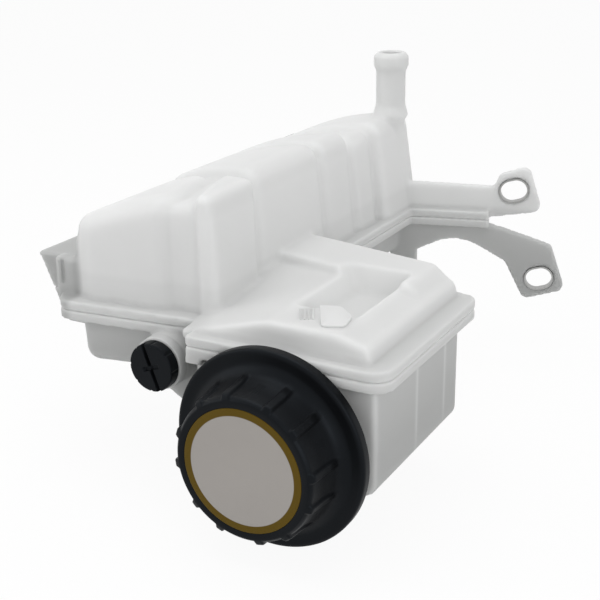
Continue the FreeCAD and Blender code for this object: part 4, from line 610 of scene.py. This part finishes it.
film_links.new(film_age.outputs["Result"], film_colour.inputs["Scale"])
film_links.new(film_colour.outputs["Vector"], film_shader.inputs["Base Color"])
label_skin.data.materials.append(film)
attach(label_skin, "cap")
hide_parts("cap_label")

# Bleed screw
# A moulded black polyamide screw with a wide fluted head, a coin slot with a short cross recess and a
# thread. It is screwed into the boss of the left compartment and seals on a ring.
BLEED_SLOT = math.radians(-20.4)
BLEED_FRONT = 19.5
BLEED_STEM = 7.0
BLEED_PITCH = 2.0


def bleed_shift(radius, along, t):
    """The slot is 2.4 mm wide and 2 mm deep across the whole head, the cross recess 9 mm long and 1.2 mm
    deep; eight flutes run along the head's side, and the thread is a helix cut into the stem."""
    head = (along < 25.4) & (radius > 7.5)
    u = radius * np.sin(t - BLEED_SLOT)
    v = radius * np.cos(t - BLEED_SLOT)
    slot = ramp(-np.abs(u), -1.2, -0.9) * 2.0
    cross = ramp(-np.abs(v), -1.2, -0.9) * ramp(-np.abs(u), -4.8, -4.2) * 1.2
    sunk = np.maximum(along, BLEED_FRONT + np.maximum(slot, cross) * (radius < 12.5))
    along = np.where(along < 22.0, sunk, along)
    flute = ramp(np.cos(8.0 * (t - BLEED_SLOT) + math.pi), 0.86, 1.0)
    radius = radius - head * (radius > 11.0) * 0.35 * flute
    stem = (np.abs(radius - BLEED_STEM) < 0.01) & (along > 33.0) & (along < 45.0)
    return radius - stem * 0.5 * ramp(thread(along, t, BLEED_PITCH), 0.3, 0.75), along


bleed_line = bent([
    (0.0, BLEED_FRONT, 0.0), (12.2, BLEED_FRONT, 0.8), (12.2, 25.5, 0.4), (BLEED_STEM, 25.5, 0.2),
    (BLEED_STEM, 46.5, 1.2), (0.0, 46.5, 0.0)], 0.22)
bleed_skin = turned_piece("bleed_skin", bleed_line, 360, bleed_shift, BLEED_AXIS)
bleed_skin.data.materials.append(black)
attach(bleed_skin, "bleed_screw")
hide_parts("bleed_screw")

# Collar of the bleed screw
# The boss of the left compartment reaches forward round the screw's stem, up to its head. It is one with the
# lower shell, in the same milky plastic.
collar_line = bent([
    (7.7, 30.7, 0.0), (7.7, 25.6, 0.3), (13.15, 25.6, 0.7), (13.45, 30.7, 0.1), (7.7, 30.7, 0.0)], 0.5)
collar = turned_piece("bleed_collar", collar_line, 160, None, BLEED_AXIS)
collar.data.materials.append(milky)
# The collar gets the same painted light and shade.
paint_walls(collar.data)
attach(collar, "tank")

# Marks on the deck
# A low five sided pad with round corners, and four fine ribs beside it, moulded into the upper shell.
DECK_TOP = 56.5


def raised_plate(outline, low, high):
    """A plate with a level top: the outline, (x, y) corners each with its rounding, is drawn in towards its
    middle near the top, by draw mm over the mean reach, so that the edge is round."""
    first = tuple((np.array(outline[0][:2], float) + np.array(outline[-1][:2], float)) / 2)
    corners = [first + (0.0,)] + list(outline) + [first + (0.0,)]
    edge = np.array(bent(corners, 0.4))[:-1]
    middle = edge.mean(axis=0)
    reach = np.linalg.norm(edge - middle, axis=1).mean()
    rows = [np.column_stack([edge + (middle - edge) * draw / reach, np.full(len(edge), height)])
            for draw, height in ((0.0, low), (0.0, high - 0.3), (0.09, high - 0.09), (0.3, high))]
    count = len(edge)
    points = np.concatenate(rows + [np.array([[*middle, low], [*middle, high]])]) / 1000.0
    index = np.arange(count)
    ahead = np.roll(index, -1)
    faces = []
    for row in range(3):
        faces += np.column_stack([index + row * count, ahead + row * count, ahead + (row + 1) * count,
                                  index + (row + 1) * count]).tolist()
    faces += np.column_stack([ahead, index, np.full(count, 4 * count)]).tolist()
    faces += np.column_stack([index + 3 * count, ahead + 3 * count, np.full(count, 4 * count + 1)]).tolist()
    return points.tolist(), faces


def joined_plates(name, plates):
    """One piece of several closed plates, their points and faces strung together."""
    points, faces = [], []
    for more_points, more_faces in plates:
        faces += [[corner + len(points) for corner in face] for face in more_faces]
        points += more_points
    return closed_piece(name, points, faces)


pad_outline = [(5.2, 53.6, 1.5), (14.8, 56.6, 2.5), (25.2, 47.8, 4.0), (27.6, 35.6, 2.5), (18.0, 31.0, 1.5)]
rib_way, rib_side = np.array([-0.485, 0.874]), np.array([0.874, 0.485])
rib_middle = np.array([4.6, 42.4])
rib_gap = 1.9
plates = [raised_plate(pad_outline, DECK_TOP - 2.0, DECK_TOP + 0.95)]
for number in range(4):
    at = rib_middle + rib_side * (number - 1.5) * rib_gap
    ends = [at + rib_way * along + rib_side * across
            for along, across in ((-7.0, -0.5), (-7.0, 0.5), (7.0, 0.5), (7.0, -0.5))]
    plates.append(raised_plate([(x, y, 0.45) for x, y in ends], DECK_TOP - 0.6, DECK_TOP + 0.45))
deck_marks = joined_plates("deck_marks", plates)
deck_marks.data.materials.append(milky)
# The marks get the same painted light and shade.
paint_walls(deck_marks.data)
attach(deck_marks, "tank")

# Valve insert and valves
# Moulded parts of dark grey polyamide inside the cap, matt and clean: the insert that clips into the sleeve,
# the spring's retainer, the pressure disc and the small vacuum valve in its middle.
grey = moulded("valve_plastic", grain=1100.0, roughness=0.46, change=0.14, depth=0.00003,
               tones=((0.035, 0.036, 0.04), (0.065, 0.066, 0.07)))[0]

# Rubber seals
# Moulded rings and discs of black rubber, dull, with a faint bloom. They lie in the grooves of the insert and
# of the bleed screw, and under the pressure disc.
rubber = moulded("seal_rubber", grain=2200.0, roughness=0.68, change=0.16, depth=0.00004,
                 tones=((0.009, 0.009, 0.009), (0.026, 0.025, 0.024)))[0]

# Springs, washer and sleeves
# Wound spring wire, a stamped washer, and sleeves of zinc plated steel pressed into the arms' slots. Each
# spring is held at one end.
steel, _, _, steel_shader, _ = moulded(
    "zinc_steel", grain=1800.0, roughness=0.42, change=0.2, depth=0.00002,
    tones=((0.30, 0.30, 0.295), (0.48, 0.48, 0.47)))
steel_shader.inputs["Metallic"].default_value = 0.7


def coil(node, name, body):
    """A spring's own mesh, its double points joined, as a steel piece that rides on the body; the CAD node is
    hidden."""
    merged = bmesh.new()
    merged.from_mesh(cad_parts[node].data)
    bmesh.ops.remove_doubles(merged, verts=merged.verts, dist=1e-7)
    mesh = bpy.data.meshes.new(name)
    merged.to_mesh(mesh)
    merged.free()
    mesh.materials.clear()
    mesh.materials.append(steel)
    piece = bpy.data.objects.new(name, mesh)
    bpy.context.scene.collection.objects.link(piece)
    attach(piece, body)
    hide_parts(node)
    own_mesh(piece)


coil("pressure_spring", "pressure_coil", "cap_carrier")
coil("vacuum_spring", "vacuum_coil", "pressure_valve")

# Finish of the pieces kept from the CAD
# Each solid has the plastic, rubber or steel that it is made of, also where a finer skin stands for it.
finish = {
    "upper_shell": milky, "lower_shell": milky, "upper_sleeve": steel, "lower_sleeve": steel,
    "cap_shell": black, "cap_label": film, "valve_insert": grey, "neck_seal": rubber,
    "insert_o_ring": rubber, "pressure_disc": grey, "pressure_seal": rubber, "pressure_spring": steel,
    "spring_retainer": grey, "vacuum_valve": grey, "vacuum_spring": steel, "vacuum_washer": steel,
    "bleed_screw": black, "bleed_o_ring": rubber,
}
for node, material in finish.items():
    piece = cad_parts[node]
    piece.data.materials.clear()
    piece.data.materials.append(material)
